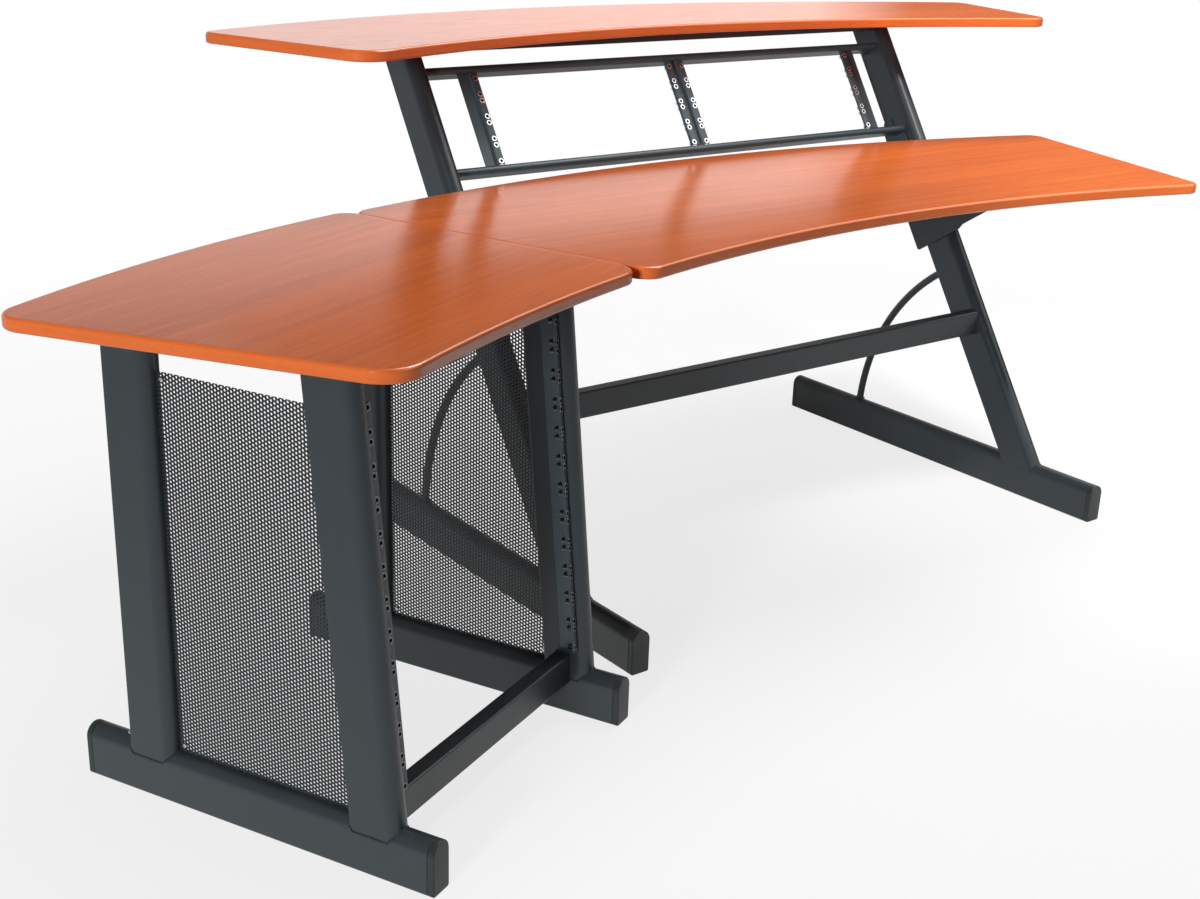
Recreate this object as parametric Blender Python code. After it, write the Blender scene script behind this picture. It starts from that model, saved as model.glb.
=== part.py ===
"""Studio workstation desk with a leaning rack tier, a top shelf and a side rack cabinet.

Metres, +Z up, front towards -Y. The pieces are first placed around a working origin on the floor,
midway between the two legs and under the middle of the lowest row of rack holes. At the end the
whole desk is shifted so that its origin is the middle of its footprint.
"""

import math

import bmesh
import bpy
from mathutils import Matrix, Vector

# Clearance between pieces that touch
GAP = 0.0003

# The big tube: one narrow side is a half round, the other is flat
TUBE_WIDTH = 0.037
TUBE_DEPTH = 0.078
TUBE_WALL = 0.002
TUBE_CORNER = 0.004

# Legs and the frame between them
LEG_CENTRE = 0.6075
LEG_LEAN = math.radians(33.0)
LEG_TIP = 0.026
DATUM_HEIGHT = 0.7476
BASE_FRONT = -0.6195
BASE_REAR = 0.2784
LEG_DOWN = 0.86
LEG_UP = 0.33
CAP_LENGTH = 0.011
CAP_PLUG_LENGTH = 0.016
CAP_RIM = 0.0012
BRACE_RADIUS = 0.008
BRACE_ARC_RADIUS = 0.467
BRACE_ARC_Y = -0.3982
BRACE_ARC_Z = 0.0418
BRACE_SWEEP = math.radians(60.0)
BAR_CORNER = 0.003
PLATE_CORNER = 0.004
CROSSBAR_HEIGHT = 0.050
CROSSBAR_DEPTH = 0.027
CROSSBAR_FRONT = -0.272
CROSSBAR_BOTTOM = 0.325
BEAM_HEIGHT = 0.025
BEAM_DEPTH = 0.040
BEAM_FRONT = 0.110

# Boards; an arc is (centre x, radius, apex y)
BOARD_THICKNESS = 0.019
BAND_THICKNESS = 0.002
DESK_TOP = 0.7195
SHELF_TOP = 0.9775
DESK_JOINT_GAP = 0.0006
MAIN_REAR_ARC = (0.0, 3.035, -0.0155)
MAIN_FRONT_ARC = (0.0, 2.403, -0.6008)
MAIN_REAR_HALF = 0.8755
MAIN_FRONT_HALF = 0.6858
MAIN_RADII = (0.030, 0.030, 0.030, 0.030)
SHELF_REAR_ARC = (0.0, 2.420, 0.402)
SHELF_FRONT_ARC = (0.0, 2.050, 0.010)
SHELF_REAR_HALF = 0.972
SHELF_FRONT_HALF = 0.850
SHELF_RADII = (0.050, 0.050, 0.030, 0.030)
SIDE_REAR_ARC = (-1.189, 2.377, 0.2709)
SIDE_FRONT_ARC = (-1.225, 2.900, -0.3190)
SIDE_REAR_LEFT = -1.617
SIDE_FRONT_LEFT = -1.531
SIDE_RADII = (0.055, 0.045, 0.030, 0.045)

# Rack bays, from the 19 inch rack standard
HOLE_SPAN = 0.4651
CLEAR_WIDTH = 0.450
RACK_UNIT = 0.04445
HOLE_STEP = 0.0127
HOLE_RADIUS = 0.0044
BAY_HOLE_INNER = 0.016
TIER_UNITS = 4
RAIL_UNITS = 12
STRIP_THICKNESS = 0.002
STRIP_RECESS = 0.005
SIDE_STRIP_FACE = 0.0175
SIDE_STRIP_EAR = 0.023
CENTRE_STRIP_HALF_GROOVE = 0.0045
RACK_TUBE_HEIGHT = 0.015
RACK_TUBE_DEPTH = 0.029
RACK_TUBE_TIP = 0.0015
RACK_TUBE_CORNER = 0.003
LOWER_RACK_TUBE = -0.0212
UPPER_RACK_TUBE = 0.1775
RACK_LUG_LENGTH = 0.015
RACK_LUG_HEIGHT = 0.0185

# Desk brackets; the outline points are in the tier's y and z
PLATE_THICKNESS = 0.004
FLANGE_WIDTH = 0.040
FLANGE_FRONT = -0.400
FLANGE_REAR = -0.095
BRACKET_NOSE = -0.4265
BRACKET_DESK_REAR = -0.0900
BRACKET_FOOT = -0.277
BRACKET_FOOT_REAR = 0.077
BRACKET_WAIST = (0.0574, 0.005)
BRACKET_EAR = (0.0465, 0.0195)
BRACKET_STEM = 0.002
BRACKET_STEM_RISE = 0.020
BRACKET_FOOT_FRONT = ((-0.066, -0.272), (-0.052, -0.277))
BRACKET_BEND = -0.205
BRACKET_RADII = (0.006, 0.010, 0.004, 0.004, 0, 0, 0.008, 0.010, 0, 0, 0.008, 0.008)

# Shelf plates
SHELF_PLATE_FRONT = 0.1545
SHELF_PLATE_REAR = 0.200

# Side cabinet, turned about the working origin
CABINET_TURN = math.radians(24.81)
CABINET_LEFT = -1.486
CABINET_RIGHT = -0.969
CABINET_BASE_FRONT = -0.357
CABINET_BASE_REAR = 0.245
FRONT_POST_LEAN = math.atan(0.0935)
FRONT_POST_FOOT = -0.3075
REAR_POST_TIP = 0.082
CABINET_BAR_FRONT = -0.270
CABINET_BAR_BOTTOM = 0.055
MESH_TOP = 0.639
MESH_THICKNESS = 0.0015
RAIL_SETBACK = 0.014
RAIL_WEB_DEPTH = 0.030
RAIL_BOTTOM = 0.118
RAIL_FIRST_HOLE = HOLE_STEP / 2
LUG_THICKNESS = 0.003
LUG_REACH = 0.030
LUG_SETBACK = 0.012
JOINING_PLATE = (0.160, 0.180, 0.003)

# Finishes: base colour, metallic, roughness
FRAME_COAT = ((0.055, 0.068, 0.072), 0.0, 0.45)
RACK_COAT = ((0.090, 0.105, 0.110), 0.0, 0.40)
CHERRY_TOP = ((0.52, 0.17, 0.055), 0.0, 0.25)
CHERRY_EDGE = ((0.72, 0.26, 0.06), 0.0, 0.30)
PLASTIC_CAP = ((0.035, 0.042, 0.045), 0.0, 0.55)
PERFORATED_STEEL = ((0.045, 0.055, 0.058), 0.0, 0.50)

# How finely curves are stepped
ROUND_STEPS = 10
CORNER_STEPS = 2
BEND_STEPS = 4
BOARD_CORNER_STEPS = 6
ARC_STEPS = 24
HOLE_SEGMENTS = 12
SHARP_EDGE = math.radians(35.0)


def clear_scene():
    for old in list(bpy.data.objects):
        bpy.data.objects.remove(old, do_unlink=True)


def material(name, finish):
    colour, metallic, roughness = finish
    made = bpy.data.materials.get(name)
    if made is None:
        made = bpy.data.materials.new(name)
        made.use_nodes = True
        shader = made.node_tree.nodes["Principled BSDF"]
        shader.inputs["Base Color"].default_value = (*colour, 1.0)
        shader.inputs["Metallic"].default_value = metallic
        shader.inputs["Roughness"].default_value = roughness
    return made


def new_object(name, mesh_builder, place, finish_name, finish):
    """One closed solid, linked to the scene and placed by its matrix."""
    bmesh.ops.recalc_face_normals(mesh_builder, faces=mesh_builder.faces)
    mesh = bpy.data.meshes.new(name)
    mesh_builder.to_mesh(mesh)
    mesh_builder.free()
    mesh.shade_smooth()
    mesh.set_sharp_from_angle(angle=SHARP_EDGE)
    made = bpy.data.objects.new(name, mesh)
    bpy.context.scene.collection.objects.link(made)
    made.parent = desk
    made.matrix_local = place
    mesh.materials.append(material(finish_name, finish))
    return made


def cutter(name, mesh_builder, place):
    """A hidden solid that other pieces are cut with."""
    made = new_object(name, mesh_builder, place, "frame_coat", FRAME_COAT)
    made.hide_render = True
    made.display_type = "WIRE"
    return made


def cut(target, tool):
    modifier = target.modifiers.new(tool.name, "BOOLEAN")
    modifier.operation = "DIFFERENCE"
    modifier.object = tool


def join_solid(target, tool):
    modifier = target.modifiers.new(tool.name, "BOOLEAN")
    modifier.operation = "UNION"
    modifier.object = tool


# Frames: where an outline stands and which way it is extruded


def upright_frame(x, y, z, lean=0.0, turn=0.0):
    """Local x across, local y to the rear, local z up, leaned back and turned."""
    return (
        Matrix.Translation((x, y, z))
        @ Matrix.Rotation(turn, 4, "Z")
        @ Matrix.Rotation(-lean, 4, "X")
    )


def across(frame):
    """The same frame with its outline in local y and z, extruded along local x."""
    cycle = Matrix(((0, 0, 1, 0), (1, 0, 0, 0), (0, 1, 0, 0), (0, 0, 0, 1)))
    return frame @ cycle


FLOOR = Matrix.Identity(4)
TIER = upright_frame(0.0, 0.0, DATUM_HEIGHT, lean=LEG_LEAN)
CABINET = Matrix.Rotation(CABINET_TURN, 4, "Z")


# Outlines


def arc_points(centre, radius, start, end, steps):
    return [
        (
            centre[0] + radius * math.cos(start + (end - start) * i / steps),
            centre[1] + radius * math.sin(start + (end - start) * i / steps),
        )
        for i in range(steps + 1)
    ]


def loaf_outline(width, depth, tip, corner=TUBE_CORNER):
    """The big tube's section: half round towards -y, its tip at y = -tip, flat at the back."""
    half = width / 2
    back = depth - tip
    points = arc_points((0.0, half - tip), half, math.pi, 2 * math.pi, ROUND_STEPS)
    points += arc_points((half - corner, back - corner), corner, 0.0, math.pi / 2, CORNER_STEPS)
    points += arc_points((corner - half, back - corner), corner, math.pi / 2, math.pi, CORNER_STEPS)
    return points


def box_outline(left, bottom, right, top, corner=0.0):
    if not corner:
        return [(left, bottom), (right, bottom), (right, top), (left, top)]
    points = []
    for cx, cy, start in (
        (right - corner, bottom + corner, -math.pi / 2),
        (right - corner, top - corner, 0.0),
        (left + corner, top - corner, math.pi / 2),
        (left + corner, bottom + corner, math.pi),
    ):
        points += arc_points((cx, cy), corner, start, start + math.pi / 2, CORNER_STEPS)
    return points


def rounded(points, radii):
    """A polygon with its corners rounded, each by its own radius; 0 leaves a corner sharp."""
    result = []
    count = len(points)
    for i, radius in enumerate(radii):
        here = Vector(points[i])
        if not radius:
            result.append(tuple(here))
            continue
        before = (Vector(points[i - 1]) - here).normalized()
        after = (Vector(points[(i + 1) % count]) - here).normalized()
        half_angle = before.angle(after) / 2
        reach = radius / math.tan(half_angle)
        start = here + before * reach
        end = here + after * reach
        centre = here + (before + after).normalized() * radius / math.sin(half_angle)
        from_angle = math.atan2(*(start - centre).yx)
        to_angle = math.atan2(*(end - centre).yx)
        sweep = (to_angle - from_angle + math.pi) % (2 * math.pi) - math.pi
        result += arc_points(centre, radius, from_angle, from_angle + sweep, BEND_STEPS)
    return result


def sheet_outline(path, thickness):
    """A bent sheet's section: its front line, and the same line moved to the right of its way."""
    back = []
    for i, point in enumerate(path):
        here = Vector(point)
        ways = []
        if i:
            ways.append((here - Vector(path[i - 1])).normalized())
        if i + 1 < len(path):
            ways.append((Vector(path[i + 1]) - here).normalized())
        sides = [Vector((way.y, -way.x)) for way in ways]
        middle = sum(sides, Vector((0.0, 0.0))).normalized()
        back.append(tuple(here + middle * thickness / middle.dot(sides[0])))
    return list(path) + back[::-1]


def inset(points, distance):
    """A closed outline moved inwards by a distance."""
    count = len(points)
    area = sum(
        points[i - 1][0] * points[i][1] - points[i][0] * points[i - 1][1] for i in range(count)
    )
    turn = 1.0 if area > 0 else -1.0
    moved = []
    for i, point in enumerate(points):
        here = Vector(point)
        first = (here - Vector(points[i - 1])).normalized()
        second = (Vector(points[(i + 1) % count]) - here).normalized()
        inward = Vector((-first.y - second.y, first.x + second.x)).normalized() * turn
        side = Vector((-first.y, first.x)) * turn
        moved.append(tuple(here + inward * distance / inward.dot(side)))
    return moved


# Solids from outlines


def prism(outline, low, high):
    return loft([(outline, low), (outline, high)])


def loft(rings):
    """A solid through rings of equally many points, given as (outline, height) from end to end."""
    made = bmesh.new()
    loops = [[made.verts.new((x, y, z)) for x, y in outline] for outline, z in rings]
    for lower, upper in zip(loops, loops[1:]):
        for i in range(len(lower)):
            made.faces.new((lower[i - 1], lower[i], upper[i], upper[i - 1]))
    made.faces.new(loops[0][::-1])
    made.faces.new(loops[-1])
    return made


def pipe(outer, inner, low, high):
    """A hollow bar, open at both ends."""
    made = bmesh.new()
    loops = [
        [made.verts.new((x, y, z)) for x, y in outline]
        for outline, z in ((outer, low), (outer, high), (inner, high), (inner, low))
    ]
    for k, lower in enumerate(loops):
        upper = loops[(k + 1) % 4]
        for i in range(len(lower)):
            made.faces.new((lower[i - 1], lower[i], upper[i], upper[i - 1]))
    return made


def loaf_pipe(width, depth, tip, wall, low, high, corner=TUBE_CORNER):
    outer = loaf_outline(width, depth, tip, corner)
    inner = loaf_outline(width - 2 * wall, depth - 2 * wall, tip - wall, corner - wall / 2)
    return pipe(outer, inner, low, high)


def big_tube(tip, low, high):
    return loaf_pipe(TUBE_WIDTH, TUBE_DEPTH, tip, TUBE_WALL, low, high)


def box(low, high):
    return prism(box_outline(low[0], low[1], high[0], high[1]), low[2], high[2])


def hole_row(heights, x, radius, front, back):
    """Round cutters through a flange, side by side in one mesh."""
    made = bmesh.new()
    for height in heights:
        centre = Matrix.Translation((x, (front + back) / 2, height))
        bmesh.ops.create_cone(
            made,
            cap_ends=True,
            segments=HOLE_SEGMENTS,
            radius1=radius,
            radius2=radius,
            depth=back - front,
            matrix=centre @ Matrix.Rotation(math.pi / 2, 4, "X"),
        )
    return made


def rack_hole_heights(units):
    """Pairs half an inch apart that straddle each unit line, from the first hole up."""
    first_pair = RACK_UNIT - HOLE_STEP
    heights = []
    for unit in range(units + 1):
        heights += [unit * RACK_UNIT - HOLE_STEP, unit * RACK_UNIT]
    top = (units - 1) * RACK_UNIT + first_pair
    return [height for height in heights if -GAP < height < top + GAP]


# Boards


def arc_height(x, centre, radius, apex):
    return apex - radius + math.sqrt(radius ** 2 - (x - centre) ** 2)


def board_outline(corners, rear_arc, front_arc, radii):
    """Front and rear are arcs, the ends are straight.

    corners holds the x of the front left, front right, rear right and rear left corners, an arc
    is (centre x, radius, apex y), and radii holds the four corner radii in the same order.
    """
    arcs = (front_arc, front_arc, rear_arc, rear_arc)
    points = [Vector((x, arc_height(x, *arc))) for x, arc in zip(corners, arcs)]
    outline = []
    for i, (corner, radius) in enumerate(zip(points, radii)):
        centre_x, arc_radius, apex = arcs[i]
        centre = Vector((centre_x, apex - arc_radius))
        along = (corner - centre).orthogonal().normalized()
        before = (points[i - 1] - corner).normalized()
        after = (points[(i + 1) % 4] - corner).normalized()
        if i in (0, 2):
            after = along * (1.0 if along.dot(after) > 0 else -1.0)
        else:
            before = along * (1.0 if along.dot(before) > 0 else -1.0)
        outline.append((corner, before, after, radius, arcs[i]))
    result = []
    for i, (corner, before, after, radius, arc) in enumerate(outline):
        half_angle = before.angle(after) / 2
        reach = radius / math.tan(half_angle)
        start = corner + before * reach
        end = corner + after * reach
        centre = corner + (before + after).normalized() * radius / math.sin(half_angle)
        from_angle = math.atan2(*(start - centre).yx)
        sweep = (math.atan2(*(end - centre).yx) - from_angle + math.pi) % (2 * math.pi) - math.pi
        result += arc_points(centre, radius, from_angle, from_angle + sweep, BOARD_CORNER_STEPS)
        if i in (0, 2):
            following = outline[i + 1]
            stop_half = following[1].angle(following[2]) / 2
            stop = following[0] + following[1] * following[3] / math.tan(stop_half)
            for k in range(1, ARC_STEPS):
                x = end.x + (stop.x - end.x) * k / ARC_STEPS
                result.append((x, arc_height(x, *arc)))
    return result


def joint_end_x(y_of_cabinet):
    """The joint of the two desktops, as x in the cabinet's frame at a given y there."""
    to_cabinet = CABINET.inverted()
    rear = Vector((-MAIN_REAR_HALF, arc_height(MAIN_REAR_HALF, *MAIN_REAR_ARC), 0.0))
    front = Vector((-MAIN_FRONT_HALF, arc_height(MAIN_FRONT_HALF, *MAIN_FRONT_ARC), 0.0))
    rear = to_cabinet @ rear
    front = to_cabinet @ front
    share = (y_of_cabinet - front.y) / (rear.y - front.y)
    return front.x + (rear.x - front.x) * share - DESK_JOINT_GAP


def side_outline():
    """The right end follows the joint, so its corners are found by a few steps of iteration."""
    front_x = joint_end_x(SIDE_FRONT_ARC[2])
    rear_x = joint_end_x(SIDE_REAR_ARC[2])
    for _ in range(4):
        front_x = joint_end_x(arc_height(front_x, *SIDE_FRONT_ARC))
        rear_x = joint_end_x(arc_height(rear_x, *SIDE_REAR_ARC))
    corners = (SIDE_FRONT_LEFT, front_x, rear_x, SIDE_REAR_LEFT)
    return board_outline(corners, SIDE_REAR_ARC, SIDE_FRONT_ARC, SIDE_RADII)


def make_board(name, outline, frame, top):
    """A board and the band round its edge."""
    low = top - BOARD_THICKNESS
    core = inset(outline, BAND_THICKNESS + GAP)
    lip = inset(outline, BAND_THICKNESS)
    new_object(name, prism(core, low, top), frame, "cherry_top", CHERRY_TOP)
    new_object(name + "_edge", pipe(outline, lip, low, top), frame, "cherry_edge", CHERRY_EDGE)


def make_boards():
    main = board_outline(
        (-MAIN_FRONT_HALF, MAIN_FRONT_HALF, MAIN_REAR_HALF, -MAIN_REAR_HALF),
        MAIN_REAR_ARC,
        MAIN_FRONT_ARC,
        MAIN_RADII,
    )
    shelf = board_outline(
        (-SHELF_FRONT_HALF, SHELF_FRONT_HALF, SHELF_REAR_HALF, -SHELF_REAR_HALF),
        SHELF_REAR_ARC,
        SHELF_FRONT_ARC,
        SHELF_RADII,
    )
    make_board("main_desktop", main, FLOOR, DESK_TOP)
    make_board("top_shelf", shelf, FLOOR, SHELF_TOP)
    make_board("side_desktop", side_outline(), CABINET, DESK_TOP)


# Tubes that stand on tubes


def base_cutter(name, frame, front, rear):
    """The base tube with its clearance, drawn down below the floor."""
    section = loaf_outline(TUBE_WIDTH + 2 * GAP, 2 * TUBE_DEPTH, TUBE_DEPTH + GAP)
    return cutter(name, prism(section, front, rear), frame @ upright_frame(0, 0, 0, math.pi / 2))


def make_base(side, frame, x, front, rear):
    """A base tube on the floor with a plug cap in each end."""
    lying = frame @ upright_frame(x, 0.0, 0.0, lean=math.pi / 2)
    tube = big_tube(TUBE_DEPTH, front + CAP_LENGTH + GAP, rear - CAP_LENGTH - GAP)
    new_object(side + "_base_tube", tube, lying, "frame_coat", FRAME_COAT)
    face = loaf_outline(TUBE_WIDTH, TUBE_DEPTH, TUBE_DEPTH)
    eased = inset(face, CAP_RIM)
    plug = inset(face, TUBE_WALL + 4 * GAP)
    for end, y, way in (("front", front, 1.0), ("rear", rear, -1.0)):
        rings = [
            (eased, y),
            (face, y + way * CAP_RIM),
            (face, y + way * CAP_LENGTH),
            (plug, y + way * CAP_LENGTH),
            (plug, y + way * (CAP_LENGTH + CAP_PLUG_LENGTH)),
        ]
        name = side + "_" + end + "_cap"
        new_object(name, loft(rings), lying, "plastic_cap", PLASTIC_CAP)


def make_leg(side, x):
    """A leaning tube, coped onto its base tube and cut level under the shelf plate."""
    leaning = upright_frame(x, 0.0, DATUM_HEIGHT, lean=LEG_LEAN)
    tube = big_tube(LEG_TIP, -LEG_DOWN, LEG_UP)
    leg = new_object(side + "_leg", tube, leaning, "frame_coat", FRAME_COAT)
    on_floor = Matrix.Translation((x, 0.0, 0.0))
    cut(leg, base_cutter(side + "_leg_foot_cutter", on_floor, BASE_FRONT - TUBE_DEPTH, 0.0))
    under_plate = SHELF_TOP - BOARD_THICKNESS - LUG_THICKNESS - 2 * GAP
    above = box((-TUBE_WIDTH, 0.0, under_plate), (TUBE_WIDTH, SHELF_TOP, 2 * SHELF_TOP))
    cut(leg, cutter(side + "_leg_top_cutter", above, on_floor))


def make_brace(side, x):
    """A round bar bent to an arc, from the back of the leg down to the base tube."""
    made = bmesh.new()
    low_end = Matrix.Translation((0.0, BRACE_ARC_Y + BRACE_ARC_RADIUS, BRACE_ARC_Z))
    ring = bmesh.ops.create_circle(
        made, cap_ends=False, segments=HOLE_SEGMENTS, radius=BRACE_RADIUS, matrix=low_end
    )
    edges = list({edge for vert in ring["verts"] for edge in vert.link_edges})
    bmesh.ops.spin(
        made,
        geom=ring["verts"] + edges,
        cent=(0.0, BRACE_ARC_Y, BRACE_ARC_Z),
        axis=(1.0, 0.0, 0.0),
        angle=BRACE_SWEEP,
        steps=ARC_STEPS,
    )
    open_edges = [edge for edge in made.edges if edge.is_boundary]
    bmesh.ops.holes_fill(made, edges=open_edges, sides=HOLE_SEGMENTS)
    place = Matrix.Translation((x, 0.0, 0.0))
    brace = new_object(side + "_arc_brace", made, place, "frame_coat", FRAME_COAT)
    cut(brace, base_cutter(side + "_brace_foot_cutter", place, 0.0, BASE_REAR))
    leaning = upright_frame(x, 0.0, DATUM_HEIGHT, lean=LEG_LEAN)
    back = TUBE_DEPTH - LEG_TIP + GAP
    slab = box((-TUBE_WIDTH, -TUBE_DEPTH, -LEG_DOWN), (TUBE_WIDTH, back, 0.0))
    cut(brace, cutter(side + "_brace_top_cutter", slab, leaning))


def make_crossbars():
    """The lower crossbar, the shelf beam and the two rack tubes, all between the legs."""
    reach = LEG_CENTRE - TUBE_WIDTH / 2 - GAP
    beam_bottom = SHELF_TOP - BOARD_THICKNESS - GAP - BEAM_HEIGHT
    bars = (
        ("lower_crossbar", CROSSBAR_FRONT, CROSSBAR_BOTTOM, CROSSBAR_DEPTH, CROSSBAR_HEIGHT),
        ("shelf_beam", BEAM_FRONT, beam_bottom, BEAM_DEPTH, BEAM_HEIGHT),
    )
    for name, front, bottom, depth, height in bars:
        outer = box_outline(front, bottom, front + depth, bottom + height, BAR_CORNER)
        inner = inset(outer, TUBE_WALL)
        new_object(name, pipe(outer, inner, -reach, reach), across(FLOOR), "frame_coat", FRAME_COAT)
    for name, low in (("lower_rack_tube", LOWER_RACK_TUBE), ("upper_rack_tube", UPPER_RACK_TUBE)):
        outer = rack_tube_outline(low, 0.0)
        inner = rack_tube_outline(low, TUBE_WALL)
        new_object(name, pipe(outer, inner, -reach, reach), across(TIER), "frame_coat", FRAME_COAT)


def rack_tube_outline(low, wall):
    """The flat rack tube's section in the tier's y and z, its round nose to the front."""
    section = loaf_outline(
        RACK_TUBE_HEIGHT - 2 * wall,
        RACK_TUBE_DEPTH - 2 * wall,
        RACK_TUBE_TIP - wall,
        RACK_TUBE_CORNER - wall / 2,
    )
    middle = low + RACK_TUBE_HEIGHT / 2
    return [(y, middle + x) for x, y in section]


def tier_point(y, z):
    """A point of the floor frame's y and z, given in the tier's y and z."""
    moved = TIER.inverted() @ Vector((0.0, y, z))
    return (moved.y, moved.z)


def make_desk_bracket(side, sign):
    """A plate on the leg's inner face that carries the desktop and hooks behind the rack tube."""
    top = DESK_TOP - BOARD_THICKNESS - GAP
    desk_rear = tier_point(BRACKET_DESK_REAR, top)
    hook_front = RACK_TUBE_DEPTH - RACK_TUBE_TIP + GAP
    plate_top = LOWER_RACK_TUBE - GAP
    points = [
        (BRACKET_FOOT_REAR, BRACKET_FOOT),
        (BRACKET_FOOT_REAR, BRACKET_BEND),
        BRACKET_WAIST,
        BRACKET_EAR,
        (hook_front, BRACKET_EAR[1]),
        (hook_front, plate_top),
        (BRACKET_STEM, plate_top),
        (BRACKET_STEM, desk_rear[1] + BRACKET_STEM_RISE),
        desk_rear,
        tier_point(BRACKET_NOSE, top),
        *BRACKET_FOOT_FRONT,
    ]
    outer_face = LEG_CENTRE - TUBE_WIDTH / 2 - GAP
    inner_face = outer_face - PLATE_THICKNESS
    ends = sorted((sign * outer_face, sign * inner_face))
    plate = prism(rounded(points, BRACKET_RADII), *ends)
    bracket = new_object(side + "_desk_bracket", plate, across(TIER), "frame_coat", FRAME_COAT)
    overlap = inner_face + PLATE_THICKNESS / 4
    flange_ends = sorted((sign * overlap, sign * (inner_face - FLANGE_WIDTH)))
    flange = box(
        (flange_ends[0], FLANGE_FRONT, top - PLATE_THICKNESS),
        (flange_ends[1], FLANGE_REAR, top),
    )
    join_solid(bracket, cutter(side + "_bracket_flange_shape", flange, FLOOR))


def make_shelf_plate(side, sign):
    """A plate on top of the leg, reaching inwards for the screws up into the shelf."""
    outer = LEG_CENTRE + TUBE_WIDTH / 2
    inner = LEG_CENTRE - TUBE_WIDTH / 2 - 2 * LUG_REACH
    ends = sorted((sign * outer, sign * inner))
    top = SHELF_TOP - BOARD_THICKNESS - GAP
    outline = box_outline(ends[0], SHELF_PLATE_FRONT, ends[1], SHELF_PLATE_REAR, PLATE_CORNER)
    plate = prism(outline, top - LUG_THICKNESS, top)
    new_object(side + "_shelf_plate", plate, FLOOR, "frame_coat", FRAME_COAT)


def make_rack_lug(side, sign):
    """A small lug behind the end of the upper rack tube."""
    outer = LEG_CENTRE - TUBE_WIDTH / 2 - GAP
    ends = sorted((sign * outer, sign * (outer - RACK_LUG_LENGTH)))
    behind = RACK_TUBE_DEPTH - RACK_TUBE_TIP + GAP
    top = UPPER_RACK_TUBE + RACK_LUG_HEIGHT
    outline = box_outline(ends[0], UPPER_RACK_TUBE, ends[1], top, BAR_CORNER)
    lug = prism(outline, -behind - PLATE_THICKNESS, -behind)
    facing = TIER @ Matrix.Rotation(math.pi / 2, 4, "X")
    new_object(side + "_rack_lug", lug, facing, "frame_coat", FRAME_COAT)


def make_rack_strips():
    """Bent strips with the tapped holes, between the two rack tubes."""
    low = LOWER_RACK_TUBE + RACK_TUBE_HEIGHT + GAP
    high = UPPER_RACK_TUBE - GAP
    opening = BAY_HOLE_INNER + HOLE_SPAN / 2 + CLEAR_WIDTH / 2
    step = opening + SIDE_STRIP_FACE
    side_path = [
        (-opening, STRIP_RECESS),
        (-opening, 0.0),
        (-step, 0.0),
        (-step, STRIP_RECESS),
        (-step - SIDE_STRIP_EAR, STRIP_RECESS),
    ]
    inner = BAY_HOLE_INNER + HOLE_SPAN / 2 - CLEAR_WIDTH / 2
    groove = CENTRE_STRIP_HALF_GROOVE
    half_path = [(inner, STRIP_RECESS), (inner, 0.0), (groove, 0.0), (groove, STRIP_RECESS)]
    centre_path = half_path + [(-x, y) for x, y in half_path[::-1]]
    left = sheet_outline(side_path, STRIP_THICKNESS)
    right = [(-x, y) for x, y in left]
    centre = sheet_outline(centre_path, STRIP_THICKNESS)
    outer_hole = BAY_HOLE_INNER + HOLE_SPAN
    strips = (
        ("left_rack_strip", left, (-outer_hole,)),
        ("centre_rack_strip", centre, (-BAY_HOLE_INNER, BAY_HOLE_INNER)),
        ("right_rack_strip", right, (outer_hole,)),
    )
    heights = rack_hole_heights(TIER_UNITS)
    for name, outline, columns in strips:
        strip = new_object(name, prism(outline, low, high), TIER, "rack_coat", RACK_COAT)
        for k, x in enumerate(columns):
            holes = hole_row(heights, x, HOLE_RADIUS, -STRIP_RECESS, STRIP_RECESS)
            cut(strip, cutter(name + "_holes_" + str(k), holes, TIER))


# Side cabinet


def make_post(name, x, tip, lean, low_y):
    """An upright of the cabinet: coped at the foot, cut level under its lug."""
    standing = CABINET @ upright_frame(x, low_y, 0.0, lean=lean)
    tube = big_tube(tip, TUBE_DEPTH / 2, DESK_TOP)
    post = new_object(name, tube, standing, "frame_coat", FRAME_COAT)
    place = CABINET @ Matrix.Translation((x, 0.0, 0.0))
    cut(post, base_cutter(name + "_foot_cutter", place, CABINET_BASE_FRONT, CABINET_BASE_REAR))
    under_lug = DESK_TOP - BOARD_THICKNESS - LUG_THICKNESS - 2 * GAP
    above = box((-TUBE_WIDTH, -DESK_TOP, under_lug), (TUBE_WIDTH, DESK_TOP, 2 * DESK_TOP))
    cut(post, cutter(name + "_top_cutter", above, place))


def make_lug(name, x, inward, front, rear):
    """A plate on a post's top with room for two screws up into the desktop."""
    half = TUBE_WIDTH / 2
    ends = sorted((x - inward * half, x + inward * (half + LUG_REACH)))
    top = DESK_TOP - BOARD_THICKNESS - GAP
    outline = box_outline(ends[0], front, ends[1], rear, PLATE_CORNER)
    new_object(name, prism(outline, top - LUG_THICKNESS, top), CABINET, "frame_coat", FRAME_COAT)


def make_mesh_panel(side, x):
    """The perforated panel between the posts; its fine holes are left to the dressed model."""
    low = TUBE_DEPTH + GAP
    slope = math.tan(FRONT_POST_LEAN)
    post_back = FRONT_POST_FOOT + TUBE_DEPTH / math.cos(FRONT_POST_LEAN) + GAP
    outline = [
        (post_back + slope * low, low),
        (REAR_POST_TIP - GAP, low),
        (REAR_POST_TIP - GAP, MESH_TOP),
        (post_back + slope * MESH_TOP, MESH_TOP),
    ]
    half = MESH_THICKNESS / 2
    new_object(
        "cabinet_" + side + "_mesh",
        prism(outline, x - half, x + half),
        across(CABINET),
        "perforated_steel",
        PERFORATED_STEEL,
    )


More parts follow.
